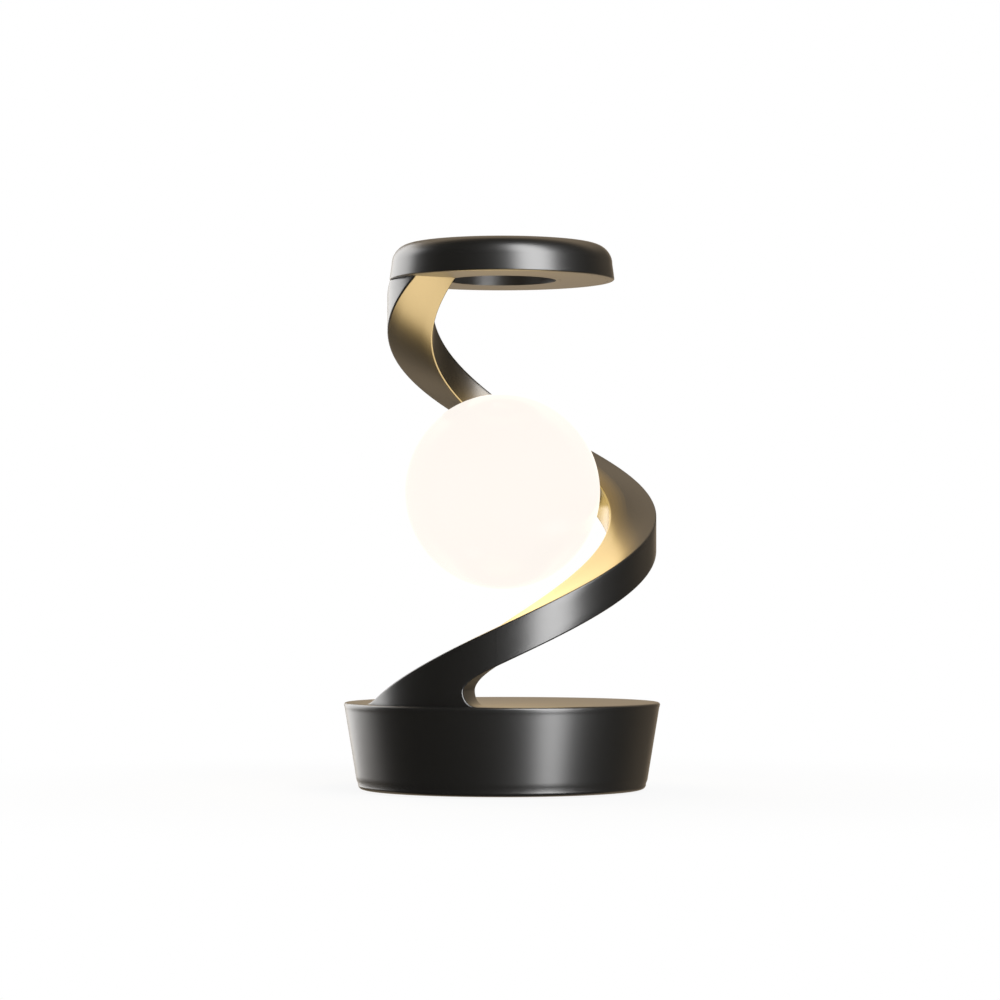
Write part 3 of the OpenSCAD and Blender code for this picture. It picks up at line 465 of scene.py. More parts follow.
def drum_side(skin, m, outline, half, low, high, floor_y):
    """One side of the drum's wall, turned round the axis, with a box let in at the back.

    Columns squeeze together so that two of them follow the box's upright edges. Returns the edges of the
    left and right part of the box's floor, which is left open."""
    r, z = outline.T
    inside = (z > low - WELD) & (z < high + WELD) & (r > m.plate_r)
    plain = np.arcsin(m.panel_w / 2 / m.drum_top_r)
    low_r = r[inside][np.argmin(z[inside])]
    high_r = r[inside][np.argmax(z[inside])]
    below = np.clip((z - m.drum_low) / (low - m.drum_low), 0, 1)
    above = np.clip((m.roof_z - z) / (m.roof_z - high), 0, 1)
    edge = np.where(z < low, plain + (np.arcsin(half / low_r) - plain) * below,
                    plain + (np.arcsin(half / high_r) - plain) * above)
    edge[inside] = np.arcsin(half / r[inside])
    window, rest = 32, 224
    within = np.linspace(-1, 1, window + 1)
    without = np.linspace(0, 1, rest + 1)[1:-1]
    turn = np.concatenate([edge[:, None] * within, edge[:, None] + (2 * np.pi - 2 * edge[:, None]) * without],
                          axis=1)
    wall = joined(r[:, None] * np.sin(turn), r[:, None] * np.cos(turn), z[:, None])
    rows = np.flatnonzero(inside)
    first, last = rows[0], rows[-1]
    keep = np.ones((len(z) - 1, turn.shape[1]), bool)
    keep[first:last, :window] = False
    skin.grid(wall, close_columns=True, keep=keep)
    mouth = wall[first:last + 1, :window + 1]
    floor = mouth.copy()
    floor[..., 1] = floor_y
    skin.grid(np.stack([loop_of(mouth), loop_of(floor)]), close_columns=True)
    middle = window * 9 // 20   # between the button's hole and the inlet's
    return loop_of(floor[:, :middle + 1]), loop_of(floor[:, middle:])


def make_drum(m):
    """Drum: its outer and inner outlines turned round the axis, joined at the lower step and both holes."""
    lean = np.arctan(m.drum_slope)
    skirt = np.linspace(-np.pi / 2, 0, 9)
    skirt_turn = skirt + lean * (1 + skirt / (np.pi / 2))
    skirt_line = joined(m.drum_foot_r - m.skirt_round + m.skirt_round * np.cos(skirt_turn),
                        m.drum_low + m.skirt_round + m.skirt_round * np.sin(skirt))
    low, high = m.panel_z, m.panel_z + m.panel_h
    wall_z = np.concatenate([np.linspace(m.drum_low + m.skirt_round, low, 8)[1:],
                             np.linspace(low, high, 13)[1:],
                             np.linspace(high, m.deck_z - m.rim_round, 6)[1:-1]])
    wall = joined(drum_radius(m, wall_z), wall_z)
    rim = arc(m.drum_top_r - m.rim_round, m.deck_z - m.rim_round, m.rim_round, 0, 90, 8)
    step_r = m.plate_r + m.hairline
    deck = joined(np.linspace(rim[-1, 0], 0, 12)[1:], m.deck_z)
    outside = path((step_r, m.drum_low), skirt_line, wall, rim, deck)
    box_low, box_high = low - m.panel_side, high + m.panel_side
    in_z = np.concatenate([np.linspace(m.plate_top + m.ledge_t, box_low, 5),
                           np.linspace(box_low, box_high, 13)[1:],
                           np.linspace(box_high, m.roof_z, 3)[1:]])
    in_wall = joined(drum_radius(m, in_z) - m.drum_wall, in_z)
    ledge_r = m.plate_r - m.ledge_w
    roof = joined(np.linspace(in_wall[-1, 0], 0, 12)[1:], m.roof_z)
    inside = path((step_r, m.drum_low), (step_r, m.plate_top), (ledge_r, m.plate_top),
                  (ledge_r, m.plate_top + m.ledge_t), in_wall, roof)
    slot_half = (m.inlet_w - m.inlet_h) / 2
    holes = ((-m.button_x, m.button_z, 0, m.button_hole_r),
             (m.inlet_x, m.inlet_z + m.inlet_h / 2, slot_half, m.inlet_h / 2 + m.inlet_gap))
    skin = Skin()
    half = m.panel_w / 2
    front_edges = drum_side(skin, m, outside, half, low, high, m.panel_y)
    back_y = m.panel_y - m.panel_t
    back_edges = drum_side(skin, m, inside, half + m.panel_side, box_low, box_high, back_y)
    for front, back, hole in zip(front_edges, back_edges, holes):
        round_hole = slot_loop(*hole, front)
        near, far = (joined(round_hole[:, 0], y, round_hole[:, 1]) for y in (m.panel_y, back_y))
        rise = np.linspace(0, 1, 5)[:, None, None]
        skin.grid(front + (near - front) * rise, close_columns=True)
        skin.grid(back + (far - back) * rise, close_columns=True)
        skin.grid(np.stack([near, far]), close_columns=True)
    return skin.build("drum", sharp=35)


def wrapped(m, x, unrolled):
    """Unrolled points of angle and height, at x outward from the band's inner wall."""
    return band_point(m, x, unrolled[..., 0], unrolled[..., 1])


def make_foot(m):
    """Foot of the band: an unrolled outline wrapped round the base with rounded long edges.

    The outline is its buried edge, the concave toe, the run-out under the band, the end face at the seam and
    the top edge, which leaves the deck along a parabola. Both walls are upright columns between the lower
    and the upper chain of the outline."""
    columns, toe_steps, run_steps, edge_steps = 72, 18, 28, 6
    left = np.linspace(m.foot_first_a, m.notch_back_a, columns + 1)
    t = np.linspace(0, np.pi / 2, toe_steps + 1)
    toe = joined(m.notch_toe_a - (m.notch_toe_a - m.notch_back_a) * np.cos(t),
                 m.deck_z + m.notch_r * (1 - np.sin(t)))
    t = np.linspace(0, 1, run_steps + 1)[1:]
    lower = band_top(m, np.array([m.notch_back_a, m.notch_run_a, m.seam_a])) - m.band_h
    run = joined(m.notch_back_a + (m.notch_run_a - m.notch_back_a) * t ** 2,
                 (1 - t) ** 2 * (m.deck_z + m.notch_r) + 2 * t * (1 - t) * lower[0] + t ** 2 * lower[1])
    under = path(run, (m.seam_a, lower[2]))
    top_a = np.concatenate([left, under[:, 0]])
    rise = m.deck_z + m.slope * (top_a - m.foot_first_a) ** 2 / (4 * m.blend_a)
    top = joined(top_a, np.where(top_a > m.tip_a + m.blend_a, band_top(m, top_a), rise))
    bottom = joined(np.concatenate([left, toe[1:, 0]]), m.deck_z - m.foot_sink)
    outline = path(bottom, toe[::-1], under, top[::-1])
    arc_length = np.array([m.front_r, 1])
    along = (np.roll(outline, -1, axis=0) - np.roll(outline, 1, axis=0)) * arc_length
    inward = joined(-along[:, 1], along[:, 0]) / np.linalg.norm(along, axis=1)[:, None]
    inward[:len(bottom)] = 0
    end = len(bottom) + len(toe) + len(under)
    inward[end - 1] = (0, 1)
    inward[end] = (0, -1)
    inward /= arc_length
    turn = np.linspace(0, np.pi / 2, edge_steps + 1)
    reach = m.band_edge * (1 - np.cos(turn))
    inset = m.band_edge * (1 - np.sin(turn))
    across = np.concatenate([m.band_w - reach, reach[::-1]])
    insets = np.concatenate([inset, inset[::-1]])
    flat = outline + insets[:, None, None] * inward
    skin = Skin()
    first_toe = len(bottom)
    for part in (slice(0, first_toe), slice(first_toe, end), slice(end, None)):
        skin.grid(wrapped(m, across[:, None], flat[:, part]))
    shrunk = flat[0]
    low_chain = shrunk[:len(bottom)]
    toe_chain = shrunk[len(bottom):len(bottom) + len(toe)][::-1]
    under_chain = path(toe_chain[0], shrunk[len(bottom) + len(toe):end])
    top_chain = shrunk[end:][::-1]
    split = (toe_chain[0, 1] - low_chain[columns, 1]) / (top_chain[columns, 1] - low_chain[columns, 1])
    middle = low_chain[:columns + 1] + (top_chain[:columns + 1] - low_chain[:columns + 1]) * split
    bend = np.linspace(0, 1, columns + 1)[:, None] ** 8
    middle = middle + (toe_chain[0] - middle[-1]) * bend
    patches = ((low_chain[:columns + 1], middle), (middle, top_chain[:columns + 1]),
               (low_chain[columns:], toe_chain), (under_chain, top_chain[columns:]))
    share_up = np.linspace(0, 1, 9)[:, None, None]
    up = share_up[:, 0, 0]
    whole = np.concatenate([up * split, split + (1 - split) * up[1:]])
    for start, stop, shares in ((0, -1, whole), (first_toe - 1, first_toe, up)):
        end_face = flat[:, start, None] + (flat[:, stop] - flat[:, start])[:, None] * shares[:, None]
        skin.grid(wrapped(m, across[:, None], end_face))
    for start, stop in patches:
        rows = start + (stop - start) * share_up
        for x in (0, m.band_w):
            skin.grid(wrapped(m, x, rows))
    last_rows = under_chain[-1] + (top_chain[-1] - under_chain[-1]) * share_up[:, 0]
    low_edge, high_edge = (wrapped(m, across, flat[:, side]) for side in (end - 1, end))
    inner, outer = (wrapped(m, x, last_rows) for x in (0, m.band_w))
    skin.face(np.concatenate([low_edge[:-1], inner[:-1], high_edge[::-1][:-1], outer[::-1][:-1]]))
    return skin.build("band_foot")


def band_height(m, a, y):
    """Height of what lies y above the band's underside.

    Where the band runs into the ring, all above its rounded lower edges is squeezed into the room left, so
    that it ends just inside the plate."""
    low = band_top(m, a) - m.band_h
    e = m.band_edge
    room = np.clip(m.ring_z + m.hairline - low, m.hairline / 10, m.band_h)
    rounded = np.minimum(y, e) * np.minimum(room / e, 1)
    least = e * 1.02
    above = np.clip(y - e, 0, None) * (np.maximum(room, least) - e) / (m.band_h - e)
    return low + rounded + above


def carried(m, x, y, a):
    """Point of the band's section, x outward and y above its underside, carried to an angle."""
    return band_point(m, x, a, band_height(m, a, y))


def band_span(m):
    """Angles at which the band starts, against the foot, and ends, just inside the ring's plate."""
    return m.seam_a + m.hairline / 5 / m.front_r, m.band_end + m.hairline * 0.8 / m.slope


def make_band(m):
    """Winding band: a channel section, open towards the globe, carried along the band's path."""
    w, h, e = m.band_w, m.band_h, m.band_edge
    section = path(arc(w - e, e, e, -90, 0, 6), (w, h * 0.25), (w, h * 0.5), (w, h * 0.75),
                   arc(w - e, h - e, e, 0, 90, 6), (w * 0.75, h), (w * 0.5, h), (w * 0.25, h),
                   arc(e, h - e, e, 90, 180, 6), (0, h - m.lip_t), (m.cover_t, h - m.lip_t),
                   (m.cover_t, h - m.band_wall), (w - m.band_wall, h - m.band_wall),
                   (w - m.band_wall, m.band_wall), (m.cover_t, m.band_wall), (m.cover_t, m.lip_t),
                   (0, m.lip_t), arc(e, e, e, 180, 270, 6), (w * 0.25, 0), (w * 0.5, 0), (w * 0.75, 0))
    a = np.linspace(*band_span(m), BAND_SECTIONS)[:, None]
    skin = Skin()
    numbers = skin.grid(carried(m, section[:, 0], section[:, 1], a), close_columns=True)
    skin.close(numbers[0])
    skin.close(numbers[-1])
    return skin.build("band", weld=False)


def make_strip(m):
    """Strip that closes the band: a flat section carried along the path, with a round hole for the pivot.

    Near the pivot each face is ruled between the hole's circle and the edge of the stretch left open."""
    low, high = m.lip_t + m.hairline, m.band_h - m.lip_t - m.hairline
    rows = np.linspace(low, high, 13)
    open_half = 0.18
    first, last = band_span(m)
    spans = (first, m.pivot_a - open_half, m.pivot_a + open_half, last)
    counts = (150, 24, 220)
    through = np.array([0, m.cover_t])
    skin = Skin()
    for k, count in enumerate(counts):
        a = np.linspace(spans[k], spans[k + 1], count + 1)[:, None]
        for y in (low, high):
            skin.grid(carried(m, through, y, a))
        if k != 1:
            for x in through:
                skin.grid(carried(m, x, rows, a))
    for a in (first, last):
        skin.grid(carried(m, through[:, None], rows, a))
    a, y = np.meshgrid(np.linspace(spans[1], spans[2], counts[1] + 1), rows, indexing="ij")
    edge = loop_of(joined(a, y))
    centre, _, across = pivot_axes(m)
    around = carried(m, 0, edge[:, 1], edge[:, 0]) - centre
    turn = np.arctan2(around[:, 2], around @ across)
    circle = m.bush_r * joined(np.cos(turn), np.sin(turn))
    walls = []
    for x in through:
        hole = hole_in_band(m, circle, x)
        way = edge + (hole - edge) * np.linspace(0, 1, 7)[:, None, None]
        face = carried(m, x, way[..., 1], way[..., 0])
        skin.grid(face, close_columns=True)
        walls.append(face[-1])
    skin.grid(np.stack(walls), close_columns=True)
    return skin.build("band_strip")


def hole_in_band(m, circle, x):
    """Angle and height on the band's wall at x of points given across and above the pivot's axis.

    A point's distance across the axis is the radius times the sine of its angle from the pivot. The radius
    goes by the angle too, so both are worked out in turns until they no longer change."""
    turns = 12
    a = np.full(len(circle), float(m.pivot_a))
    for _ in range(turns):
        r = band_radius(m, a) - m.band_w + x
        a = m.pivot_a + np.arcsin(circle[:, 0] / r)
    z = m.globe_z + circle[:, 1]
    return joined(a, z - band_top(m, a) + m.band_h)


def make_pivot_seat(m):
    """Round seat that the globe's washer turns against: its outline turned round the pivot."""
    centre, out, across = pivot_axes(m)
    front, back = m.pivot_in_r - m.seat_proud, m.pivot_in_r + m.cover_t / 2
    e = m.hairline * 2
    outline = path((m.bush_r, front), (m.seat_r - e, front), (m.seat_r, front + e), (m.seat_r, back),
                   (m.bush_r, back))
    return shell("pivot_seat", revolved(outline, SMALL_COLUMNS, centre, out, across))


def make_ring(m):
    """Ring: its outline turned round the axis, with a hollow that the plate below closes."""
    z, top, e, wall = m.ring_z, m.lamp_h, m.ring_edge, m.ring_wall
    round_x = m.ring_r - m.ring_lean - m.ring_round
    inner = m.ring_hole_r
    in_r = m.ring_r - m.ring_rim
    outside = path((in_r, z), arc(m.ring_r - e, z + e, e, -90, 0, 8),
                   arc(round_x, top - m.ring_round, m.ring_round, 0, 90, 32),
                   arc(inner + e, top - e, e, 90, 180, 8), (inner, z))
    inside = path((inner + wall, z), (inner + wall, top - wall),
                  arc(round_x, top - m.ring_round, m.ring_round - wall, 90, 0, 12), (in_r, z))
    return shell("ring", revolved(spaced(path(outside, inside[:-1]), 4 * MM), RING_COLUMNS))


def lobed(m, outline, columns, starts, half, rows):
    """Turns an outline once round the pivot, with some of its rows further out by a lug beside each start.

    A row's radius is the outline's, plus the lug's width where the turn is within half a lug of a start. Two
    columns stand a hair apart at each edge of a lug or notch, so that its sides are upright."""
    centre, out, across = pivot_axes(m)
    edges = np.concatenate([starts - half, starts + half]) % (2 * np.pi)
    even = np.linspace(0, 2 * np.pi, columns, endpoint=False)
    turn = np.sort(np.concatenate([even, edges - HAIR, edges + HAIR]))
    nearest = np.abs((turn[:, None] - starts + np.pi) % (2 * np.pi) - np.pi).min(axis=1)
    r = np.repeat(outline[:, 0][:, None], len(turn), axis=1)
    r[rows, nearest < half] += m.lug_w
    return turned(r, outline[:, 1], turn, centre, out, across)


def make_globe(m):
    """Globe: an opal shell turned round the pivot, with three notches let into the neck's inner land."""
    in_r = m.globe_r - m.globe_wall
    land_z = m.neck_z - m.neck_t
    land_r = np.sqrt(in_r ** 2 - land_z ** 2)
    outer = arc(0, 0, m.globe_r, np.degrees(np.arctan2(m.neck_z, m.neck_rim_r)), -90, 96)
    inner = arc(0, 0, in_r, -90, np.degrees(np.arctan2(land_z, land_r)), 96)
    outline = path((m.neck_r, land_z), (m.neck_r, m.neck_z), outer, inner)
    notches = m.lug_first + np.radians(60) + THIRDS
    return shell("globe_shell", lobed(m, outline, GLOBE_COLUMNS, notches, m.lug_notch / 2, slice(0, 2)))


def make_button(m):
    """Button: stem, flange and dished face with a rounded edge, turned round a level axis."""
    back = m.panel_y - m.panel_t - m.button_gap - m.button_flange_t
    front = m.panel_y + m.button_proud
    e = m.button_edge
    face_r = np.linspace(m.button_r - e, 0, 14)[1:]
    dish = front - m.button_dish * (1 - (face_r / (m.button_r - e)) ** 2) ** 1.5
    flange_r = m.button_r + m.button_flange_w
    outline = path((0, back - m.button_stem), (m.button_stem_r, back - m.button_stem),
                   (m.button_stem_r, back), (flange_r, back), (flange_r, back + m.button_flange_t),
                   (m.button_r, back + m.button_flange_t), arc(m.button_r - e, front - e, e, 0, 90, 8),
                   joined(face_r, dish))
    points = revolved(outline, SMALL_COLUMNS, (-m.button_x, 0, m.button_z), (0, 1, 0), (1, 0, 0))
    return shell("button", points, close_rows=False)


def make_cap(m):
    """Cap of the globe: its outline turned round the pivot, with three lugs behind the neck's land."""
    in_z = m.neck_z - m.neck_t - m.cap_gap - m.lug_t
    spigot_r = m.neck_r - m.cap_gap
    start = np.degrees(np.arctan2(m.neck_z, m.neck_rim_r))
    stop = np.degrees(np.arccos(m.hub_r / m.globe_r))
    e = m.hub_edge
    outline = path((m.tube_hole_r, in_z), (spigot_r, in_z), (spigot_r, in_z + m.lug_t), (spigot_r, m.neck_z),
                   (m.neck_rim_r, m.neck_z), arc(0, 0, m.globe_r, start, stop, 16)[1:],
                   arc(m.hub_r - e, m.hub_z - e, e, 0, 90, 5), (m.tube_hole_r, m.hub_z))
    lugs = m.lug_first + THIRDS
    return shell("cap", lobed(m, outline, CAP_COLUMNS, lugs, m.lug_wide / 2, slice(1, 3)))


class Socket:
    """A node's output with the arithmetic that is used on it."""

    def __init__(self, nodes, output):
        self.nodes = nodes
        self.output = output

    def __add__(self, other):
        return self.nodes.maths("ADD", self, other)

    def __radd__(self, other):
        return self.nodes.maths("ADD", other, self)

    def __sub__(self, other):
        return self.nodes.maths("SUBTRACT", self, other)

    def __rsub__(self, other):
        return self.nodes.maths("SUBTRACT", other, self)

    def __mul__(self, other):
        return self.nodes.maths("MULTIPLY", self, other)

    def __rmul__(self, other):
        return self.nodes.maths("MULTIPLY", other, self)


class Nodes:
    """A node tree in the making."""

    def __init__(self, tree):
        self.tree = tree

    def make(self, kind, settings=None, inputs=None, output=0):
        """Adds a node: first its settings, then the values or links of its sockets."""
        node = self.tree.nodes.new(kind)
        for name, value in (settings or {}).items():
            setattr(node, name, value)
        for key, value in (inputs or {}).items():
            self.put(node.inputs[key], value)
        return Socket(self, node.outputs[output]) if node.outputs else None

    def put(self, socket, value):
        """Links a socket's value, or sets it."""
        if isinstance(value, Socket):
            self.tree.links.new(value.output, socket)
        elif hasattr(value, "__len__") and len(value) == 3 and socket.type == "RGBA":
            socket.default_value = (*value, 1)
        else:
            socket.default_value = value

    def maths(self, operation, *values):
        """A number worked out from one or two others."""
        return self.make("ShaderNodeMath", {"operation": operation}, dict(enumerate(values)))

    def mix(self, factor, first, second):
        """A mix of two colours."""
        return self.make("ShaderNodeMix", {"data_type": "RGBA"}, {0: factor, 6: first, 7: second}, 2)

    def fade(self, value, stretch, low, high):
        """Goes smoothly from low to high while a value crosses a stretch."""
        return self.make("ShaderNodeMapRange", {"interpolation_type": "SMOOTHSTEP"}, {
            "Value": value, "From Min": stretch[0], "From Max": stretch[1], "To Min": low, "To Max": high})

    def ray(self, kind):
        """Whether a ray is of a kind: 1 or 0."""
        return self.make("ShaderNodeLightPath", output="Is %s Ray" % kind)

    def place(self, kind="Object"):
        """Where a point is."""
        return self.make("ShaderNodeTexCoord", output=kind)

    def grain(self, scale, detail=3.0, roughness=0.5):
        """Fine noise over the piece, from 0 to 1."""
        return self.make("ShaderNodeTexNoise", {}, {
            "Vector": self.place(), "Scale": scale, "Detail": detail, "Roughness": roughness})

    def bump(self, height, strength, distance):
        """Small relief, a distance in metres high."""
        return self.make("ShaderNodeBump", {}, {"Strength": strength, "Distance": distance, "Height": height})

    def varied(self, factor, base, low, high):
        """A colour that goes from one share of itself to another."""
        dark, light = (tuple(min(1, c * much) for c in base) for much in (low, high))
        return self.mix(factor, dark, light)


class Finish(Nodes):
    """A node material in the making."""

    def __init__(self, name):
        self.material = bpy.data.materials.new(name)
        self.material.use_nodes = True
        super().__init__(self.material.node_tree)
        self.shader = self.tree.nodes["Principled BSDF"]

    def surface(self, **values):
        """Sets the shader's sockets by name, with _ for a space."""
        for name, value in values.items():
            self.put(self.shader.inputs[name.replace("_", " ")], value)
        return self.material


def satin_paint(f):
    """Fine satin paint: broken slightly in tone and gloss, with a very shallow orange peel."""
    finish = Finish("satin_paint")
    cloud = finish.grain(scale=60, detail=2)
    fine = finish.grain(scale=2600, detail=4, roughness=0.6)
    return finish.surface(
        Base_Color=finish.varied(cloud, f.black, 0.9, 1.12), Roughness=f.paint_rough - 0.02 + 0.04 * fine,
        Normal=finish.bump(fine, strength=0.12, distance=0.02 * MM), IOR=f.paint_ior)


def opal_glass(f):
    """Opal glass, lit from inside: a soft glow with the faintest cloud in it, under a glossy skin."""
    finish = Finish("opal_glass")
    cloud = finish.grain(scale=22, detail=2)
    warm = tuple(c * w for c, w in zip(f.glow, (1, 0.99, 0.98)))
    return finish.surface(
        Base_Color=finish.varied(cloud, f.opal, 1, 1.03), Roughness=0.22 + 0.04 * cloud, IOR=1.5,
        Emission_Color=finish.mix(cloud, tuple(f.glow), warm), Emission_Strength=f.glow_level)


def turned_metal(name, base, rough):
    """Bare metal with fine tool marks that break its gloss and tone."""
    finish = Finish(name)
    marks = finish.grain(scale=900, detail=3, roughness=0.65)
    return finish.surface(
        Base_Color=finish.varied(marks, base, 0.86, 1), Roughness=rough - 0.06 + 0.12 * marks, Metallic=1.0,
        Normal=finish.bump(marks, strength=0.15, distance=0.02 * MM))


def moulded(name, base, rough, scale=1400, depth=0.03):
    """Moulded plastic or rubber with a fine even texture, its depth in millimetres."""
    finish = Finish(name)
    pores = finish.grain(scale, detail=2)
    return finish.surface(
        Base_Color=finish.varied(pores, base, 0.88, 1.08), Roughness=rough - 0.05 + 0.1 * pores,
        Normal=finish.bump(pores, strength=0.25, distance=depth * MM), IOR=1.5)


def circuit_board(name, base):
    """Lacquered board with faint tracks under the lacquer."""
    finish = Finish(name)
    tracks = finish.make("ShaderNodeTexBrick", {"offset": 0.5}, {
        "Vector": finish.place(), "Color1": (0, 0, 0, 1), "Color2": (0.4, 0.4, 0.4, 1),
        "Mortar": (1, 1, 1, 1), "Scale": 260.0, "Mortar Size": 0.03})
    return finish.surface(Base_Color=finish.varied(tracks, base, 0.85, 1.25), Roughness=0.3, IOR=1.5)


def dressed_nodes():
    """Which finish each solid part that stays gets."""
    return {
        "satin_paint": ("ring_underplate",),
        "black_plastic": ("base_plate", "tact_switch"),
        "plain_steel": ("weight_screws", "plate_screws", "board_screws", "ring_screws", "stop_washer",
                        "wave_washer", "lock_nut", "tube_nut", "led_screws"),
        "zinc": ("counterweight", "ring_block"),
        "rubber": ("rubber_pads",),
        "board": ("driver_board",),
        "nickel": ("power_inlet",),
        "ivory": ("switch_plunger", "friction_washer"),
        "white_lead": ("arm_wire", "globe_lead"),
        "brass": ("pivot_bush", "pivot_tube"),
        "aluminium": ("heat_sink",),
        "white_board": ("led_board",),
        "phosphor": ("led_chips",),
    }


def finish_named(name):
    """The material of that name, made once: its maker, and a roughness where the maker takes one."""
    if name in bpy.data.materials:
        return bpy.data.materials[name]
    f = bpy.context.scene.lamp_finishes
    if name == "satin_paint":
        return satin_paint(f)
    if name == "opal_glass":
        return opal_glass(f)
    base = getattr(f, name)
    if name in ("board", "white_board"):
        return circuit_board(name, base)
    if name == "rubber":
        return moulded(name, base, 0.75, scale=2200, depth=0.06)
    soft = {"black_plastic": 0.45, "button_plastic": 0.45, "ivory": 0.4, "white_lead": 0.4, "phosphor": 0.35}
    if name in soft:
        return moulded(name, base, soft[name])
    metal = {"plain_steel": 0.35, "zinc": 0.5, "nickel": 0.25, "brass": 0.3, "aluminium": 0.42}
    return turned_metal(name, base, metal[name])


def soft_panel(name, turn, distance, ends, width, level, shape="RECTANGLE", lean=0):
    """A soft upright panel of even brightness, turned towards the lamp."""
    low, high = ends
    data = bpy.data.lights.new(name, "AREA")
    data.shape = shape
    data.size = width
    data.size_y = high - low
    filled = np.pi / 4 if shape == "ELLIPSE" else 1
    data.energy = level * np.pi * width * (high - low) * filled
    panel = bpy.data.objects.new(name, data)
    bpy.context.scene.collection.objects.link(panel)
    panel.location = (distance * np.sin(turn), -distance * np.cos(turn), (low + high) / 2)
    panel.rotation_euler = (np.pi / 2, -lean, turn)
    panel.visible_camera = False
    return panel


def spare(lights, pieces):
    """Lets some lights pass some pieces by."""
    spared = bpy.data.collections.new("spared")
    for piece in pieces:
        spared.objects.link(piece)
    for entry in spared.collection_objects:
        entry.light_linking.link_state = "EXCLUDE"
    for light in lights:
        light.light_linking.receiver_collection = spared


def glow(name, height, radius, level, tint):
    """A sphere of even light round the globe's centre, which the camera doesn't see."""
    data = bpy.data.lights.new(name, "POINT")
    data.shadow_soft_size = radius
    data.use_soft_falloff = False
    data.energy = level * (2 * np.pi * radius) ** 2
    data.color = tint
    light = bpy.data.objects.new(name, data)
    bpy.context.scene.collection.objects.link(light)
    light.location = (0, 0, height)
    light.visible_camera = False
    return light


def globe_light(scene, m, globe, cap):
    """The light that the globe throws: a warm sphere close round it, and fainter ones that reach further.

    They leave globe and cap alone. The two soft lights pass the globe by, because it outshines them."""
    s = scene.lamp_studio
    inner = m.globe_r + s.glow_depth
    lights = [glow("globe_light", m.globe_z, inner, s.globe_level, s.globe_light)] + [
        glow("globe_halo_%d" % step, m.globe_z, inner + step * s.halo_depth, s.halo_level, s.halo_light)
        for step in range(1, s.halo_steps + 1)]
    spare(lights, (globe, cap))
    spare((bpy.data.objects["strip"], bpy.data.objects["rim"]), (globe,))


def studio_world(s):
    """Room: white to the camera, a white backdrop behind the lamp and a dim room in front of it.

    What metal and glass mirror goes by the ray's direction, and the rest is lit by one even level."""
    world = bpy.data.worlds.new("studio")
    bpy.context.scene.world = world
    world.use_nodes = True
    world.node_tree.nodes.clear()
    room = Nodes(world.node_tree)
    way = room.place("Generated")
    rearward, upward = (room.make("ShaderNodeSeparateXYZ", {}, {0: way}, axis) for axis in "YZ")
    camera = room.ray("Camera")
    glossy = room.maths("MAXIMUM", room.ray("Glossy"), room.ray("Transmission"))
    beside = room.fade(rearward, BESIDE, s.front_level, s.side_level)
    rear = room.fade(rearward, REAR, 0, 1)
    steep = room.fade(room.maths("ABSOLUTE", upward), STEEP, 0, s.high_level)
    backdrop = room.fade(rearward, BACKDROP, 0, 1)
    mirrored = backdrop * s.backdrop_level + (1 - backdrop) * (beside + steep * rear)
    level = camera + (1 - camera) * (glossy * mirrored + (1 - glossy) * s.room_level)
    tone = room.mix(glossy * (1 - camera), (1, 1, 1), s.warm_room)
    light = room.make("ShaderNodeBackground", {}, {"Color": tone, "Strength": level})
    room.make("ShaderNodeOutputWorld", {}, {"Surface": light})


def floor_finish(s):
    """Pale floor: plain white to the camera, with a share of the true floor that keeps the shadow."""
    finish = Finish("pale_floor")
    finish.surface(Base_Color=finish.varied(finish.grain(scale=9), s.floor, 0.97, 1), Roughness=0.9)
    away = finish.make("ShaderNodeVectorMath", {"operation": "LENGTH"}, {0: finish.place()}, "Value")
    white = finish.ray("Camera") * finish.fade(away, WHITENING, s.white_share, 1)
    mixed = finish.make("ShaderNodeMixShader", {}, {
        0: white, 1: Socket(finish, finish.shader.outputs[0]), 2: finish.make("ShaderNodeEmission")})
    finish.put(finish.tree.nodes["Material Output"].inputs["Surface"], mixed)
    return finish.material


class LampOperator:
    """What all operators share."""

    bl_options = {"REGISTER", "UNDO"}


class LAMP_OT_studio(LampOperator, bpy.types.Operator):
    """Sets the camera, the floor, the room and the lights"""

    bl_idname = "lamp.studio"
    bl_label = "Studio"

    def execute(self, context):
        s = context.scene.lamp_studio
        camera = bpy.data.objects.new("camera", bpy.data.cameras.new("camera"))
        context.scene.collection.objects.link(camera)
        camera.location = (0, -s.camera_y, s.camera_z)
        camera.rotation_euler = (np.pi / 2, 0, 0)
        camera.data.lens = s.lens
        camera.data.sensor_width = 36
        camera.data.shift_x = s.shift_x
        camera.data.shift_y = s.shift_y
        context.scene.camera = camera
        context.scene.view_settings.view_transform = "Standard"
        studio_world(s)
        skin = Skin()
        side = np.linspace(-s.floor_size, s.floor_size, 3)
        skin.grid(joined(side, side[:, None], 0))
        floor = skin.build("floor")
        floor.data.materials.append(floor_finish(s))
        if floor.data.polygons[0].normal.z < 0:
            floor.data.flip_normals()
        floor.visible_glossy = False
        floor.visible_shadow = False
        soft_panel("strip", s.strip_turn, s.panel_distance, (s.strip_low, s.strip_high), s.strip_width,
                   s.strip_level, "ELLIPSE", s.strip_lean)
        soft_panel("rim", -s.rim_turn, s.panel_distance, (s.rim_low, s.rim_high), s.rim_width, s.rim_level)
        return {"FINISHED"}


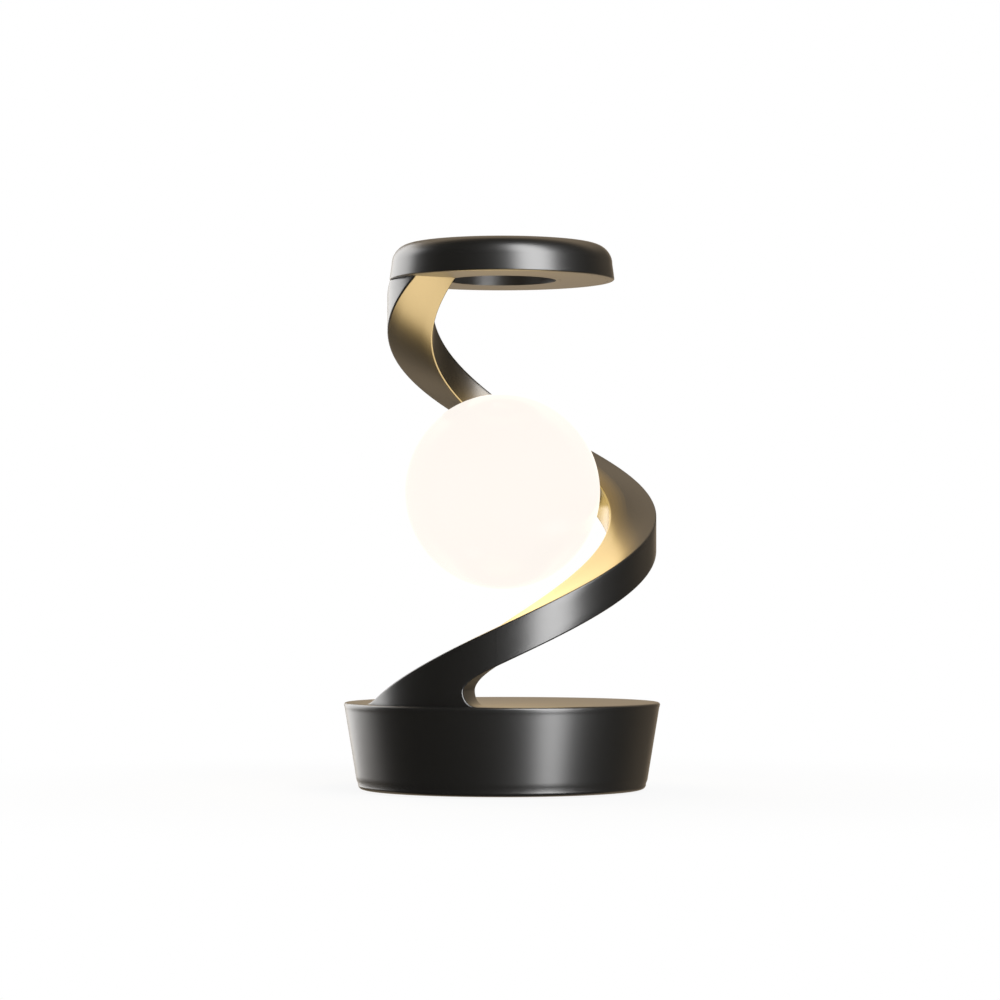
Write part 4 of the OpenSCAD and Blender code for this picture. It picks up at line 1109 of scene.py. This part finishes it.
class LAMP_OT_drum(LampOperator, bpy.types.Operator):
    """Makes the drum and the band's foot, which are one housing on the real lamp"""

    bl_idname = "lamp.drum"
    bl_label = "Drum and foot"

    def execute(self, context):
        m = measures()
        drum = settle(make_drum(m), "stand", "satin_black", finish_named("satin_paint"), "base_housing")
        edge = drum.modifiers.new("crisp_edges", "BEVEL")
        edge.width = 0.25 * MM
        edge.segments = 2
        edge.limit_method = "ANGLE"
        edge.angle_limit = np.radians(60)
        settle(make_foot(m), "stand", "satin_black", finish_named("satin_paint"), "base_housing")
        return {"FINISHED"}


class LAMP_OT_band(LampOperator, bpy.types.Operator):
    """Makes the winding band, the strip that closes it and the pivot's seat"""

    bl_idname = "lamp.band"
    bl_label = "Band"

    def execute(self, context):
        m = measures()
        paint = finish_named("satin_paint")
        settle(make_band(m), "stand", "satin_black", paint, "arm_shell")
        settle(make_strip(m), "stand", "satin_black", paint, "arm_cover")
        settle(make_pivot_seat(m), "stand", "satin_black", paint, "arm_cover")
        return {"FINISHED"}


class LAMP_OT_ring(LampOperator, bpy.types.Operator):
    """Makes the flat ring"""

    bl_idname = "lamp.ring"
    bl_label = "Ring"

    def execute(self, context):
        settle(make_ring(measures()), "stand", "satin_black", finish_named("satin_paint"), "ring_housing")
        return {"FINISHED"}


class LAMP_OT_globe(LampOperator, bpy.types.Operator):
    """Makes the opal globe and the cap that closes its neck"""

    bl_idname = "lamp.globe"
    bl_label = "Globe and cap"

    def execute(self, context):
        m = measures()
        globe = settle(make_globe(m), "globe_unit", "opal_shell", finish_named("opal_glass"), "globe")
        cap = settle(make_cap(m), "globe_unit", "satin_black", finish_named("satin_paint"), "globe_cap")
        globe_light(context.scene, m, globe, cap)
        return {"FINISHED"}


class LAMP_OT_button(LampOperator, bpy.types.Operator):
    """Makes the push button in the recess at the back"""

    bl_idname = "lamp.button"
    bl_label = "Button"

    def execute(self, context):
        paint = finish_named("button_plastic")
        settle(make_button(measures()), "button", "black_plastic", paint, "power_button")
        return {"FINISHED"}


class LAMP_OT_fittings(LampOperator, bpy.types.Operator):
    """Gives every solid part that stays its finish"""

    bl_idname = "lamp.fittings"
    bl_label = "Fittings"

    def execute(self, context):
        for finish, nodes in dressed_nodes().items():
            for node in nodes:
                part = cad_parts[node]
                part.data.materials.clear()
                part.data.materials.append(finish_named(finish))
        return {"FINISHED"}


class LAMP_PT_panel(bpy.types.Panel):
    """Lists the making steps in the sidebar"""

    bl_label = "Bedside Lamp"
    bl_idname = "LAMP_PT_panel"
    bl_space_type = "VIEW_3D"
    bl_region_type = "UI"
    bl_category = "Bedside Lamp"

    def draw(self, context):
        for step in STEPS:
            self.layout.operator(step.bl_idname)


STEPS = (LAMP_OT_studio, LAMP_OT_drum, LAMP_OT_band, LAMP_OT_ring, LAMP_OT_globe, LAMP_OT_button,
         LAMP_OT_fittings)
GROUPS = {"lamp_sizes": LampSizes, "lamp_finishes": LampFinishes, "lamp_studio": StudioLight}


def register():
    for made in (*GROUPS.values(), *STEPS, LAMP_PT_panel):
        bpy.utils.register_class(made)
    for name, group in GROUPS.items():
        setattr(bpy.types.Scene, name, bpy.props.PointerProperty(type=group))


def unregister():
    for name in GROUPS:
        delattr(bpy.types.Scene, name)
    for made in reversed((*GROUPS.values(), *STEPS, LAMP_PT_panel)):
        bpy.utils.unregister_class(made)


def main():
    """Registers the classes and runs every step."""
    register()
    for step in STEPS:
        group, name = step.bl_idname.split(".")
        getattr(getattr(bpy.ops, group), name)()


if __name__ == "__main__":
    main()
